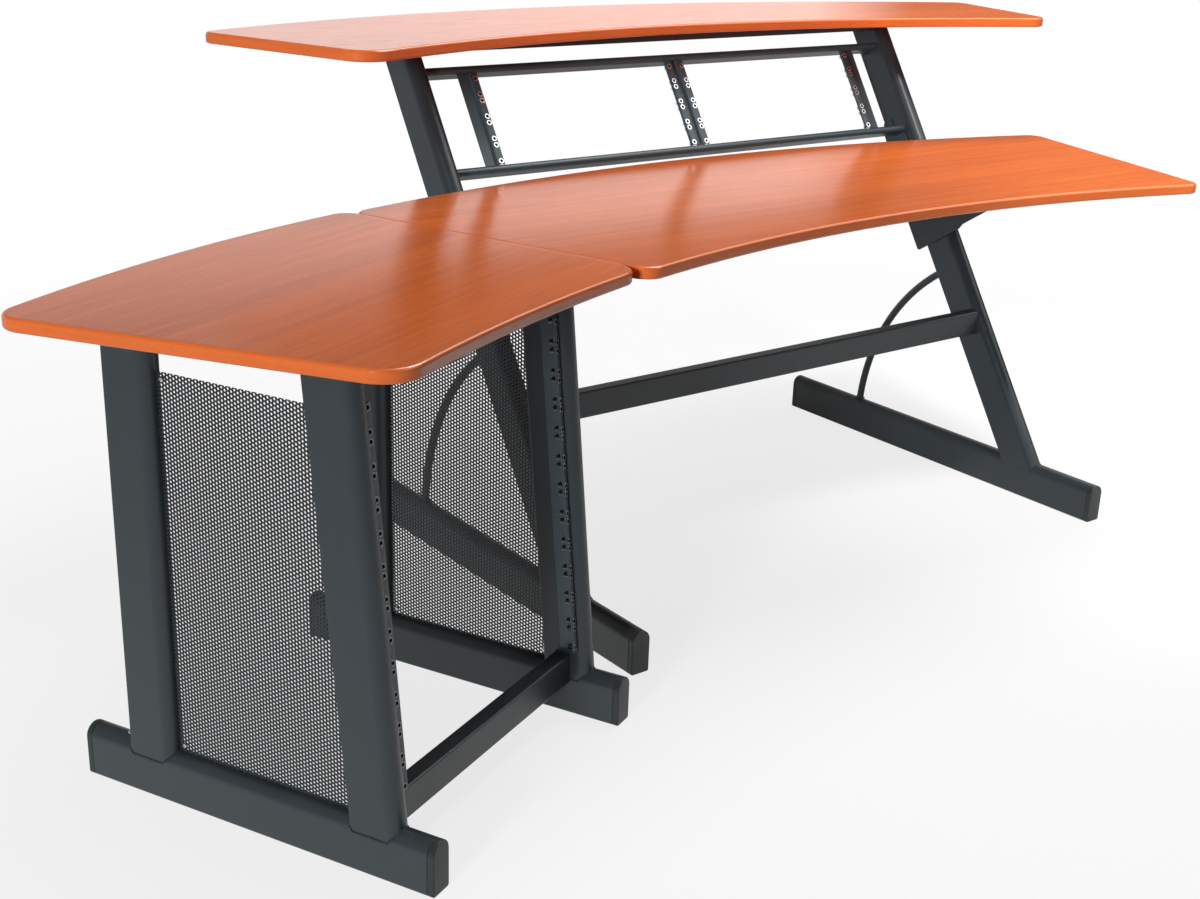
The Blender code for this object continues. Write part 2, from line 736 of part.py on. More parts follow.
def make_rail(side, inward):
    """A rack rail along the front post: a flange with tapped holes and a web on the post."""
    middle = (CABINET_LEFT + CABINET_RIGHT) / 2
    post_face = CABINET_LEFT + TUBE_WIDTH / 2 + GAP - middle
    front = RAIL_SETBACK
    path = [(-CLEAR_WIDTH / 2, front), (post_face, front), (post_face, front + RAIL_WEB_DEPTH)]
    outline = [(middle + inward * x, y) for x, y in sheet_outline(path, STRIP_THICKNESS)]
    leaning = CABINET @ upright_frame(0.0, FRONT_POST_FOOT, 0.0, lean=FRONT_POST_LEAN)
    rail = prism(outline, RAIL_BOTTOM, RAIL_BOTTOM + RAIL_UNITS * RACK_UNIT)
    made = new_object("cabinet_" + side + "_rail", rail, leaning, "rack_coat", RACK_COAT)
    first = RAIL_BOTTOM + RAIL_FIRST_HOLE
    heights = [first + height for height in rack_hole_heights(RAIL_UNITS)]
    column = middle - inward * HOLE_SPAN / 2
    holes = hole_row(heights, column, HOLE_RADIUS, front - STRIP_RECESS, front + STRIP_RECESS)
    cut(made, cutter("cabinet_" + side + "_rail_holes", holes, leaning))


def make_cabinet():
    for side, x, inward in (("left", CABINET_LEFT, 1.0), ("right", CABINET_RIGHT, -1.0)):
        name = "cabinet_" + side
        make_base(name, CABINET, x, CABINET_BASE_FRONT, CABINET_BASE_REAR)
        make_post(name + "_front_post", x, 0.0, FRONT_POST_LEAN, FRONT_POST_FOOT)
        make_post(name + "_rear_post", x, 0.0, 0.0, REAR_POST_TIP)
        make_mesh_panel(side, x)
        make_rail(side, inward)
        top_tip = FRONT_POST_FOOT + math.tan(FRONT_POST_LEAN) * (DESK_TOP - BOARD_THICKNESS)
        for end, tip in (("front", top_tip), ("rear", REAR_POST_TIP)):
            make_lug(name + "_" + end + "_lug", x, inward, tip + LUG_SETBACK, tip + TUBE_DEPTH)
    left = CABINET_LEFT + TUBE_WIDTH / 2 + GAP
    right = CABINET_RIGHT - TUBE_WIDTH / 2 - GAP
    rear = CABINET_BAR_FRONT + CROSSBAR_DEPTH
    bar_top = CABINET_BAR_BOTTOM + CROSSBAR_HEIGHT
    outer = box_outline(CABINET_BAR_FRONT, CABINET_BAR_BOTTOM, rear, bar_top, BAR_CORNER)
    bar = pipe(outer, inset(outer, TUBE_WALL), left, right)
    new_object("cabinet_crossbar", bar, across(CABINET), "frame_coat", FRAME_COAT)


def make_joining_plate():
    """The plate under the joint of the two desktops."""
    width, depth, thickness = JOINING_PLATE
    top = DESK_TOP - BOARD_THICKNESS - GAP
    rear = Vector((-MAIN_REAR_HALF, arc_height(MAIN_REAR_HALF, *MAIN_REAR_ARC)))
    front = Vector((-MAIN_FRONT_HALF, arc_height(MAIN_FRONT_HALF, *MAIN_FRONT_ARC)))
    middle = (rear + front) / 2
    turn = math.atan2((rear - front).y, (rear - front).x) - math.pi / 2
    place = Matrix.Translation((middle.x, middle.y, 0.0)) @ Matrix.Rotation(turn, 4, "Z")
    outline = box_outline(-width / 2, -depth / 2, width / 2, depth / 2, PLATE_CORNER)
    plate = prism(outline, top - thickness, top)
    new_object("desk_joining_plate", plate, place, "frame_coat", FRAME_COAT)


def make_frame():
    for side, sign in (("left", -1.0), ("right", 1.0)):
        x = sign * LEG_CENTRE
        make_base(side, FLOOR, x, BASE_FRONT, BASE_REAR)
        make_leg(side, x)
        make_brace(side, x)
        make_desk_bracket(side, sign)
        make_shelf_plate(side, sign)
        make_rack_lug(side, sign)
    make_crossbars()
    make_rack_strips()


def centre_footprint():
    """Move the whole desk so that the origin is the middle of its footprint."""
    bpy.context.view_layer.update()
    graph = bpy.context.evaluated_depsgraph_get()
    corners = []
    for made in desk.children:
        if made.hide_render:
            continue
        solid = made.evaluated_get(graph)
        corners += [solid.matrix_world @ vertex.co for vertex in solid.data.vertices]
    middle = [(min(c[k] for c in corners) + max(c[k] for c in corners)) / 2 for k in (0, 1)]
    desk.location = (-middle[0], -middle[1], 0.0)
    bpy.context.view_layer.update()


clear_scene()
desk = bpy.data.objects.new("desk", None)
bpy.context.scene.collection.objects.link(desk)
make_boards()
make_frame()
make_cabinet()
make_joining_plate()
centre_footprint()
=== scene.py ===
"""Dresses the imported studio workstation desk: boards, tubes, rack strips, panels and finishes.

Metres, +Z up. Sizes are given around a working origin on the floor, midway between the two legs,
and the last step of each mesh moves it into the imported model's frame. An outline stands in one of
three places: the floor, the leaning rack tier, or the turned side cabinet.
"""

import math
from functools import cache

import bmesh
import bpy
from mathutils import Matrix, Vector


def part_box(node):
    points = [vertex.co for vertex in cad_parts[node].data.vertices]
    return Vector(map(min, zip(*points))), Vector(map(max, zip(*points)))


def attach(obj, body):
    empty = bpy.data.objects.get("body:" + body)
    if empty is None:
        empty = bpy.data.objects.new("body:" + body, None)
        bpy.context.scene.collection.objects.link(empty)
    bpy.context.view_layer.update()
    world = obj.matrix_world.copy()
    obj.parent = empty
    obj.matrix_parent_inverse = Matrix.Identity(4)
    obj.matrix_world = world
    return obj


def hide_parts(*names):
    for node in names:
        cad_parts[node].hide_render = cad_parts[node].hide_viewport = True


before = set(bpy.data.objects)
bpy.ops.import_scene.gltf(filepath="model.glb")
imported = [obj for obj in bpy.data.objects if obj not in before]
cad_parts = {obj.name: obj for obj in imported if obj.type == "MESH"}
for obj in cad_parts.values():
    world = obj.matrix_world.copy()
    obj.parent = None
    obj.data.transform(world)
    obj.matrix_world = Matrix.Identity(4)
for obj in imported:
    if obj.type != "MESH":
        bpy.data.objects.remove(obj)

bl_info = {
    "name": "Workstation desk dressing",
    "version": (1, 0, 0),
    "blender": (4, 5, 0),
    "location": "View3D > Sidebar > Desk",
    "description": "Builds the dressed workstation desk over its packed frame",
    "category": "Object",
}

# The hair's breadth that keeps two faces apart, and the gap between two parts
SEAM = 0.0001
GAP = 0.0003

# The big tube: one narrow side is a half round, the other is flat
TUBE_WIDTH = 0.037
TUBE_DEPTH = 0.078
TUBE_CORNER = 0.004

# Legs and the frame between them
LEG_CENTRE = 0.6075
LEG_LEAN = math.radians(33.0)
LEG_TIP = 0.026
DATUM_HEIGHT = 0.7476
BASE_FRONT = -0.6195
BASE_REAR = 0.2784
CAP_LENGTH = 0.011
CAP_EASE = 0.0022
CAP_GROOVE = 0.0007
BRACE_ARC_RADIUS = 0.467
BRACE_ARC_Y = -0.3982
BRACE_ARC_Z = 0.0418
BRACE_BITE = 0.004
BRACE_WELD_TURNS = (0.010, -0.012)
CROSSBAR_HEIGHT = 0.050
CROSSBAR_DEPTH = 0.027
CROSSBAR_FRONT = -0.272
CROSSBAR_BOTTOM = 0.325
BEAM_HEIGHT = 0.025
BEAM_DEPTH = 0.040
BEAM_FRONT = 0.110
BAR_CORNER = 0.003

# Boards; an arc is (centre x, radius, apex y)
BOARD_THICKNESS = 0.019
DESK_TOP = 0.7195
SHELF_TOP = 0.9775
DESK_JOINT_GAP = 0.0006
MAIN_REAR_ARC = (0.0, 3.035, -0.0155)
MAIN_FRONT_ARC = (0.0, 2.403, -0.6008)
MAIN_REAR_HALF = 0.8755
MAIN_FRONT_HALF = 0.6858
MAIN_RADII = (0.030, 0.030, 0.030, 0.030)
SHELF_REAR_ARC = (0.0, 2.420, 0.402)
SHELF_FRONT_ARC = (0.0, 2.050, 0.010)
SHELF_REAR_HALF = 0.972
SHELF_FRONT_HALF = 0.850
SHELF_RADII = (0.050, 0.050, 0.030, 0.030)
SIDE_REAR_ARC = (-1.189, 2.377, 0.2709)
SIDE_FRONT_ARC = (-1.225, 2.900, -0.3190)
SIDE_REAR_LEFT = -1.617
SIDE_FRONT_LEFT = -1.531
SIDE_RADII = (0.055, 0.045, 0.030, 0.045)
JOINT_ROUND = 0.25
JOINT_FADE = 4
BAND_GRAIN_STEP = 0.0025

# Rack bays; their holes and units are those of the 19 inch rack standard
HOLE_SPAN = 0.4651
CLEAR_WIDTH = 0.450
RACK_UNIT = 0.04445
HOLE_STEP = 0.0127
BAY_HOLE_INNER = 0.016
TIER_UNITS = 4
RAIL_UNITS = 12
STRIP_THICKNESS = 0.002
STRIP_RECESS = 0.005
SIDE_STRIP_FACE = 0.0175
SIDE_STRIP_EAR = 0.023
CENTRE_STRIP_HALF_GROOVE = 0.0045
RACK_TUBE_HEIGHT = 0.015
RACK_TUBE_DEPTH = 0.029
RACK_TUBE_TIP = 0.0015
RACK_TUBE_CORNER = 0.003
LOWER_RACK_TUBE = -0.0212
UPPER_RACK_TUBE = 0.1775
COLLAR_HEIGHT = 0.0008
THREAD_LEAD = 0.0006
THREADS = 5

# Desk brackets; the outline points are in the tier's y and z
PLATE_THICKNESS = 0.004
FLANGE_WIDTH = 0.040
FLANGE_FRONT = -0.400
FLANGE_REAR = -0.095
BRACKET_NOSE = -0.4265
BRACKET_DESK_REAR = -0.0900
BRACKET_FOOT = -0.277
BRACKET_FOOT_REAR = 0.077
BRACKET_WAIST = (0.0574, 0.005)
BRACKET_EAR = (0.0465, 0.0195)
BRACKET_STEM = 0.002
BRACKET_STEM_RISE = 0.020
BRACKET_FOOT_FRONT = ((-0.066, -0.272), (-0.052, -0.277))
BRACKET_BEND = -0.205
BRACKET_RADII = (0.006, 0.010, 0.004, 0.004, 0, 0, 0.008, 0.010, 0, 0, 0.008, 0.008)

# Side cabinet, turned about the working origin
CABINET_TURN = math.radians(24.81)
CABINET_LEFT = -1.486
CABINET_RIGHT = -0.969
CABINET_BASE_FRONT = -0.357
CABINET_BASE_REAR = 0.245
FRONT_POST_LEAN = math.atan(0.0935)
FRONT_POST_FOOT = -0.3075
REAR_POST_TIP = 0.082
CABINET_BAR_FRONT = -0.270
CABINET_BAR_BOTTOM = 0.055
MESH_TOP = 0.639
MESH_THICKNESS = 0.0015
RAIL_SETBACK = 0.014
RAIL_WEB_DEPTH = 0.030
RAIL_BOTTOM = 0.118
LUG_THICKNESS = 0.003
LUG_REACH = 0.030
JOINING_PLATE_THICKNESS = 0.003

# Fasteners: where they stand, how far each may be turned, and the seed of its turn
FLANGE_SCREWS = (-0.365, -0.2475, -0.130)
FLANGE_SCREW_SHARE = 0.55
SHELF_SCREW_Y = 0.178
SHELF_SCREW_APART = 0.016
LUG_SCREWS = (0.028, 0.064)
BASE_SCREW_BEHIND = 0.015
PANEL_SCREW_INSET = 0.009
PANEL_SCREW_RISE = 0.010
JOINT_SCREW_X = 0.055
JOINT_SCREW_Y = 0.070
INSERT_TURN = 0.3
INSERT_SEED = 5
SCREW_TURN = 6.2
SCREW_SEED = 9

# The photograph's camera, around the working origin
CAMERA_PLACE = Vector((-2.14035, -2.47187, 1.28167))
CAMERA_RIGHT = Vector((0.79774, -0.60217, 0.03155))
CAMERA_UP = Vector((0.18468, 0.29379, 0.93786))
CAMERA_LENS = 48.40
CAMERA_SENSOR = 36.0

# Lamps, each with its place and the point that it is aimed at
KEY_LIGHT = ((0.7, -0.1, 2.9), (0.1, -0.1, 0.7))
KEY_SIZE = 1.4
SIDE_LIGHT = ((-13.2, -7.1, 2.9), (-0.4, -0.3, 0.4))
SIDE_SIZE = 2.4
SPOT_LIGHT = ((0.4, -2.2, 3.3), (1.02, -0.60, 0.50))
SPOT_ANGLE = math.radians(40.0)
SPOT_BLEND = 0.9
SPOT_RADIUS = 0.22

# The room in reflections; a patch is (bearing, half width at its edge and where it is full,
# heights where it starts and is full, strength), in degrees, and a bearing of 90 is on the right
WINDOW_HEIGHTS = ((22.0, 27.0), (48.0, 42.0))
ROOM_PATCHES = {
    "backdrop": (175.0, (43.0, 39.5), ((18.0, 11.0),), 1.18),
    "dim wall": (235.0, (95.0, 60.0), (), 0.30),
    "high window": (92.0, (50.0, 42.0), ((26.0, 32.0),), 2.4),
    "front window": (47.0, (24.0, 16.0), WINDOW_HEIGHTS, 3.2),
    "left window": (-57.0, (16.0, 8.0), WINDOW_HEIGHTS, 2.6),
}
ROOM_DARK = 0.10
GLOW_BEARING = (215.0, 140.0, 60.0)
GLOW_LEAST = 0.12

# The floor: how far from the middle it turns white to the camera, and where reflections see it
FLOOR_REACH = 40.0
FLOOR_WHITENS = (1.2, 2.8)
MIRROR_MIDDLE = (-1.1, -0.7, 0.0)
MIRROR_FADES = (0.6, 1.8)
MIRROR_FAR_SHARE = 0.25

# How finely curves are stepped
SUPPORT = 0.0008
ROUND_STEPS = 24
CORNER_STEPS = 5
BACK_STEPS = 10
BOARD_CORNER_STEPS = 16
ARC_STEPS = 72
EDGE_STEPS = 7
BRACE_RING_STEPS = 28
FASTENER_SEGMENTS = 20
HOLE_SEGMENTS = 24
SHARP_EDGE = math.radians(32.0)


# Where things stand


def working_origin():
    """The working origin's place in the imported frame, read from the legs and the left base."""
    left, right, cap = (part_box(node) for node in ("left_leg", "right_leg", "left_front_cap"))
    return Vector(((left[0].x + right[1].x) / 2, cap[0].y - BASE_FRONT, 0.0))


def shifted(place, x=0.0, y=0.0, z=0.0):
    return place @ Matrix.Translation((x, y, z))


def leaned(place, lean):
    """The same place with its z leaned back."""
    return place @ Matrix.Rotation(-lean, 4, "X")


def across(place):
    """The same place with its outline in local y and z, extruded along local x."""
    return place @ Matrix(((0, 0, 1, 0), (1, 0, 0, 0), (0, 1, 0, 0), (0, 0, 0, 1)))


FLOOR = Matrix.Translation(working_origin())
TIER_ON_FLOOR = leaned(Matrix.Translation((0.0, 0.0, DATUM_HEIGHT)), LEG_LEAN)
TIER = FLOOR @ TIER_ON_FLOOR
CABINET = FLOOR @ Matrix.Rotation(CABINET_TURN, 4, "Z")
CABINET_FRONT = leaned(shifted(CABINET, y=FRONT_POST_FOOT), FRONT_POST_LEAN)
CABINET_SIDES = (("left", CABINET_LEFT, 1.0), ("right", CABINET_RIGHT, -1.0))
DESK_SIDES = (("left", -1.0), ("right", 1.0))
UNDER_DESK = DESK_TOP - BOARD_THICKNESS - GAP
UNDER_SHELF = SHELF_TOP - BOARD_THICKNESS - GAP
POST_SLOPE = math.tan(FRONT_POST_LEAN)
POST_BACK = FRONT_POST_FOOT + TUBE_DEPTH / math.cos(FRONT_POST_LEAN)


# Settings that a user would change


def number(name, description, default, **options):
    return bpy.props.FloatProperty(
        name=name, description=description, default=default, min=0.0, **options
    )


def length(name, description, default):
    return number(name, description, default, unit="LENGTH", precision=4)


def factor(name, description, default):
    return number(name, description, default, max=1.0, subtype="FACTOR")


def power(name, description, default):
    return number(name, description, default, unit="POWER")


def colour(name, description, default):
    return bpy.props.FloatVectorProperty(
        name=name, description=description, default=default, size=3, min=0.0, max=1.0,
        subtype="COLOR",
    )


def settings_group(name, description, kind):
    return bpy.props.PointerProperty(name=name, description=description, type=kind)


class DeskBoardSettings(bpy.types.PropertyGroup):
    band: length("Edge band", "Width of the solid edge band, seen from above", 0.0055)
    top_round: length("Top rounding", "Radius of the band's upper edge", 0.0050)
    foot_round: length("Bottom rounding", "Radius of the band's lower edge", 0.0035)
    light: colour("Light wood", "Veneer between the grain lines", (0.760, 0.165, 0.026))
    dark: colour("Dark wood", "Veneer in the grain lines", (0.400, 0.070, 0.014))
    band_light: colour("Band, light", "Edge band between the grain lines", (0.740, 0.155, 0.026))
    band_dark: colour("Band, dark", "Edge band in the grain lines", (0.560, 0.105, 0.018))
    gloss: factor("Gloss roughness", "Roughness of the lacquer", 0.19)


class DeskFrameSettings(bpy.types.PropertyGroup):
    coat: colour("Coat", "Powder coat of the tubes", (0.0195, 0.0270, 0.0315))
    rack_coat: colour("Rack coat", "Coat of strips, rails and rack tubes", (0.034, 0.056, 0.066))
    cap: colour("Caps", "Plastic of the end caps", (0.014, 0.018, 0.020))
    coat_roughness: factor("Coat roughness", "Roughness of the powder coat", 0.39)
    weld_radius: length("Weld bead", "Radius of a weld bead", 0.0019)
    weld_pitch: length("Weld ripple", "Distance between weld ripples", 0.0022)
    brace_radius: length("Brace bar", "Radius of the arc brace's bar", 0.008)


class DeskRackSettings(bpy.types.PropertyGroup):
    collar_radius: length("Insert collar", "Radius of a threaded insert's collar", 0.0055)
    bore_radius: length("Insert bore", "Radius of a threaded insert's bore", 0.0026)
    barrel_radius: length("Insert barrel", "Radius of the barrel behind the strip", 0.0042)
    barrel_length: length("Barrel length", "How far the barrel stands behind the strip", 0.0100)
    screw_radius: length("Screw head", "Radius of a pan head", 0.0040)
    zinc: colour("Zinc", "Plating of the screws and the tier's inserts", (0.700, 0.710, 0.720))
    dark_zinc: colour("Black zinc", "Plating of the cabinet's inserts", (0.115, 0.120, 0.125))


class DeskPanelSettings(bpy.types.PropertyGroup):
    column_pitch: length("Column pitch", "Distance between columns of holes", 0.00527)
    hole_pitch: length("Hole pitch", "Distance between holes in a column", 0.00595)
    hole_radius: length("Hole radius", "Radius of a hole in the side panels", 0.0020)


class DeskStageSettings(bpy.types.PropertyGroup):
    floor: colour("Floor", "Colour of the floor", (0.880, 0.880, 0.880))
    floor_glow: factor("White floor", "How far the camera sees the floor as plain white", 0.78)
    floor_mirrored: factor("Mirrored floor", "How white the floor is in reflections", 0.84)
    floor_bounce: factor("Floor bounce", "Share of its light that the floor gives back", 0.17)
    room: factor("Room light", "Strength of the room's own light from above", 0.46)
    spot: power("Front spot", "Power of the spot high in front, aimed at the right", 440.0)
    key: power("Key light", "Power of the softbox above the middle", 67.0)
    side: power("Side light", "Power of the softbox on the left", 1950.0)


class DeskSettings(bpy.types.PropertyGroup):
    board: settings_group("Boards", "Edge bands, roundings and wood", DeskBoardSettings)
    steel: settings_group("Frame", "Coats, welds and braces of the frame", DeskFrameSettings)
    rack: settings_group("Rack parts", "Threaded inserts and screws", DeskRackSettings)
    panel: settings_group("Side panels", "Holes of the perforated panels", DeskPanelSettings)
    stage: settings_group("Stage", "Floor, room and lamps", DeskStageSettings)


def settings():
    return bpy.context.scene.workstation_desk


# Outlines


def arc_points(centre, radius, start, sweep, steps):
    turns = [start + sweep * i / steps for i in range(steps + 1)]
    return [(centre[0] + radius * math.cos(t), centre[1] + radius * math.sin(t)) for t in turns]


def supported_arc(centre, radius, start, sweep, steps):
    """An arc and a point close to each tangent, which keep the sides flat under smooth shading."""
    arc = arc_points(centre, radius, start, sweep, steps)
    lead, follow = (
        Vector((-math.sin(turn), math.cos(turn))) * SUPPORT for turn in (start, start + sweep)
    )
    return [tuple(Vector(arc[0]) - lead), *arc, tuple(Vector(arc[-1]) + follow)]


def between(first, last, steps):
    """Points between two ends, without the ends."""
    return [tuple(Vector(first).lerp(Vector(last), i / steps)) for i in range(1, steps)]


def loaf_outline(width, depth, tip, corner=TUBE_CORNER):
    """The big tube's section: half round towards -y, its tip at y = -tip, flat at the back."""
    half, quarter = width / 2, math.pi / 2
    x, y = half - corner, depth - tip - corner
    right = supported_arc((x, y), corner, 0.0, quarter, CORNER_STEPS)
    left = supported_arc((-x, y), corner, quarter, quarter, CORNER_STEPS)
    nose = supported_arc((0.0, half - tip), half, math.pi, math.pi, ROUND_STEPS)
    return nose[1:] + right + between(right[-1], left[0], BACK_STEPS) + left + nose[:1]


def bar_outline(front, bottom, depth, height):
    """A bar's section in y and z, with rounded corners."""
    near, far = front + BAR_CORNER, front + depth - BAR_CORNER
    low, high = bottom + BAR_CORNER, bottom + height - BAR_CORNER
    quarter = math.pi / 2
    points = []
    for i, centre in enumerate(((far, low), (far, high), (near, high), (near, low))):
        points += supported_arc(centre, BAR_CORNER, (i - 1) * quarter, quarter, CORNER_STEPS)
    return points


def corner_arc(corner, before, after, radius, steps):
    """The arc that rounds a corner between the two directions that lead away from it."""
    half_angle = before.angle(after) / 2
    reach = radius / math.tan(half_angle)
    centre = corner + (before + after).normalized() * radius / math.sin(half_angle)
    start, end = (math.atan2(*(corner + way * reach - centre).yx) for way in (before, after))
    sweep = (end - start + math.pi) % (2 * math.pi) - math.pi
    return arc_points(centre, radius, start, sweep, steps)


def neighbours(points):
    """(point before, point, point after) all the way round a closed outline, as vectors."""
    ring = [Vector(point) for point in points]
    return list(zip(ring[-1:] + ring[:-1], ring, ring[1:] + ring[:1]))


def rounded(points, radii):
    """A polygon with its corners rounded, each by its own radius; 0 leaves a corner sharp."""
    result = []
    for (before, here, after), radius in zip(neighbours(points), radii):
        ways = (before - here).normalized(), (after - here).normalized()
        result += corner_arc(here, *ways, radius, CORNER_STEPS) if radius else [tuple(here)]
    return result


def bent_sheet(path, thickness):
    """A bent sheet's section: its front line and, to the right of its way, its back line.

    Its bends are tight inside and wider outside, and its ends are eased.
    """
    points = [Vector(point) for point in path]
    ways = [(after - here).normalized() for here, after in zip(points, points[1:])]
    back = []
    for i, here in enumerate(points):
        sides = [-way.orthogonal() for way in ways[max(i - 1, 0):i + 1]]
        middle = sum(sides, Vector((0.0, 0.0))).normalized()
        back.append(here + middle * thickness / middle.dot(sides[0]))
    inner, eased = thickness / 4, thickness / 8
    outer = inner + thickness
    lefts = [before.cross(after) > 0 for before, after in zip(ways, ways[1:])]
    front_radii = [inner if left else outer for left in lefts]
    back_radii = [outer if left else inner for left in lefts[::-1]]
    return rounded(points + back[::-1], [eased, *front_radii, eased, eased, *back_radii, eased])


def inset(points, distance):
    """A closed outline moved inwards by a distance."""
    corners = neighbours(points)
    turn = math.copysign(1.0, sum(before.cross(here) for before, here, _ in corners))
    moved = []
    for before, here, after in corners:
        side = (here - before).normalized().orthogonal() * turn
        inward = (side + (after - here).normalized().orthogonal() * turn).normalized()
        moved.append(tuple(here + inward * distance / inward.dot(side)))
    return moved


def arc_height(x, centre, radius, apex):
    return apex - radius + math.sqrt(radius**2 - (x - centre) ** 2)


def board_outline(corners, rear_arc, front_arc, radii):
    """A board whose front and rear are arcs and whose ends are straight.

    corners holds the x of the front left, front right, rear right and rear left corners, and
    radii the corner radii in the same order.
    """
    arcs = (front_arc, front_arc, rear_arc, rear_arc)
    points = [(x, arc_height(x, *arc)) for x, arc in zip(corners, arcs)]
    turns = []
    for i, (before, here, after) in enumerate(neighbours(points)):
        centre_x, radius, apex = arcs[i]
        along = (here - Vector((centre_x, apex - radius))).orthogonal().normalized()
        ways = [(before - here).normalized(), (after - here).normalized()]
        curved = (i + 1) % 2
        ways[curved] = along * math.copysign(1.0, along.dot(ways[curved]))
        turns.append(corner_arc(here, *ways, radii[i], BOARD_CORNER_STEPS))
    outline = []
    for i, (turn, following) in enumerate(zip(turns, turns[1:] + turns[:1])):
        start, stop = turn[-1], following[0]
        outline += turn
        if i % 2:
            outline += between(start, stop, BACK_STEPS)
        else:
            xs = [point[0] for point in between(start, stop, ARC_STEPS)]
            outline += [(x, arc_height(x, *arcs[i])) for x in xs]
    return outline


def joint_ends():
    """The rear and the front end of the joint between the desktops, around the working origin."""
    rear = Vector((-MAIN_REAR_HALF, arc_height(MAIN_REAR_HALF, *MAIN_REAR_ARC), 0.0))
    return rear, Vector((-MAIN_FRONT_HALF, arc_height(MAIN_FRONT_HALF, *MAIN_FRONT_ARC), 0.0))


def joint_x(y):
    """The joint of the two desktops, as x in the cabinet's frame at a given y there."""
    rear, front = (Matrix.Rotation(-CABINET_TURN, 3, "Z") @ end for end in joint_ends())
    return front.x + (rear.x - front.x) * (y - front.y) / (rear.y - front.y) - DESK_JOINT_GAP


def even_outline(front, rear, *rest):
    """A board whose two ends are alike, from the half widths of its front and rear."""
    return board_outline((-front, front, rear, -rear), *rest)


def side_outline():
    """The right end follows the joint, so its corners are found by a few steps of iteration."""
    front, rear = joint_x(SIDE_FRONT_ARC[2]), joint_x(SIDE_REAR_ARC[2])
    for _ in range(4):
        front = joint_x(arc_height(front, *SIDE_FRONT_ARC))
        rear = joint_x(arc_height(rear, *SIDE_REAR_ARC))
    corners = (SIDE_FRONT_LEFT, front, rear, SIDE_REAR_LEFT)
    return board_outline(corners, SIDE_REAR_ARC, SIDE_FRONT_ARC, SIDE_RADII)


# Meshes from outlines


def loft(rings, closed_loop=False):
    """A skin through rings of equally many 3-D points, capped at both ends or closed on itself."""
    made = bmesh.new()
    loops = [[made.verts.new(point) for point in ring] for ring in rings]
    for lower, upper in zip(loops, loops[1:] + loops[:1] if closed_loop else loops[1:]):
        for i in range(len(lower)):
            made.faces.new((lower[i - 1], lower[i], upper[i], upper[i - 1]))
    if not closed_loop:
        made.faces.new(loops[0][::-1])
        made.faces.new(loops[-1])
    return made


def stacked(layers):
    """A solid through (outline, height) pairs."""
    return loft([[(x, y, z) for x, y in outline] for outline, z in layers])


def prism(outline, low, high, ease=0.0):
    """An outline extruded, with its two ends eased by a small chamfer where asked."""
    if not ease:
        return stacked([(outline, low), (outline, high)])
    small = inset(outline, ease)
    return stacked([(small, low), (outline, low + ease), (outline, high - ease), (small, high)])


def link_object(name, data):
    made = bpy.data.objects.new(name, data)
    bpy.context.scene.collection.objects.link(made)
    return made


def plain_mesh(name, builder):
    """A mesh from a bmesh, which is freed."""
    mesh = bpy.data.meshes.new(name)
    builder.to_mesh(mesh)
    builder.free()
    return mesh


def smoothed(made):
    """The same object, smooth but for its sharp edges."""
    made.data.shade_smooth()
    made.data.set_sharp_from_angle(angle=SHARP_EDGE)
    return made


def shape(name, builder, place=Matrix()):
    """An object at the origin whose place is in its mesh."""
    bmesh.ops.recalc_face_normals(builder, faces=builder.faces)
    builder.transform(place)
    return smoothed(link_object(name, plain_mesh(name, builder)))


def finish_piece(piece, finish, nodes=()):
    """Gives a piece its finish, its body and the solids that it stands for."""
    if finish is not None:
        piece.data.materials.clear()
        piece.data.materials.append(finish)
    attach(piece, "root")
    if nodes:
        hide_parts(*nodes)


def baked(source, name):
    """The evaluated result of an object's modifiers as a plain object; the source is removed."""
    bpy.context.view_layer.update()
    graph = bpy.context.evaluated_depsgraph_get()
    mesh = bpy.data.meshes.new_from_object(source.evaluated_get(graph), depsgraph=graph)
    mesh.name = name
    bpy.data.objects.remove(source, do_unlink=True)
    return link_object(name, mesh)


def cut_away(target, tool, name):
    """The target with the tool taken out of it, as a plain object."""
    modifier = target.modifiers.new("cut", "BOOLEAN")
    modifier.operation = "DIFFERENCE"
    modifier.solver = "EXACT"
    modifier.object = tool
    made = baked(target, name)
    bpy.data.objects.remove(tool, do_unlink=True)
    return smoothed(made)


# Nodes


def feed(made, inputs):
    """Sets a node's inputs, each from a socket or a plain value."""
    for key, value in inputs.items():
        if isinstance(value, bpy.types.NodeSocket):
            made.id_data.links.new(value, made.inputs[key])
        else:
            made.inputs[key].default_value = value
    return made


def add_node(tree, kind, inputs=None, **options):
    made = tree.nodes.new(kind)
    for name, value in options.items():
        setattr(made, name, value)
    return feed(made, inputs or {})


def maths(tree, operation, first, second):
    return add_node(tree, "ShaderNodeMath", {0: first, 1: second}, operation=operation).outputs[0]


def times(tree, first, second):
    return maths(tree, "MULTIPLY", first, second)


def vector_maths(tree, operation, first, second=(0.0, 0.0, 0.0)):
    made = add_node(tree, "ShaderNodeVectorMath", {0: first, 1: second}, operation=operation)
    single = operation in ("LENGTH", "DISTANCE", "DOT_PRODUCT")
    return made.outputs["Value" if single else "Vector"]


def mix_value(tree, share, first, second):
    inputs = {0: share, 2: first, 3: second}
    return add_node(tree, "ShaderNodeMix", inputs, data_type="FLOAT").outputs[0]


def mix_colour(tree, share, first, second):
    inputs = {0: share, 6: first, 7: second}
    return add_node(tree, "ShaderNodeMix", inputs, data_type="RGBA").outputs[2]


def remap(tree, value, low, high, to_low=0.0, to_high=1.0):
    inputs = {0: value, 1: low, 2: high, 3: to_low, 4: to_high}
    return add_node(tree, "ShaderNodeMapRange", inputs, clamp=True).outputs[0]


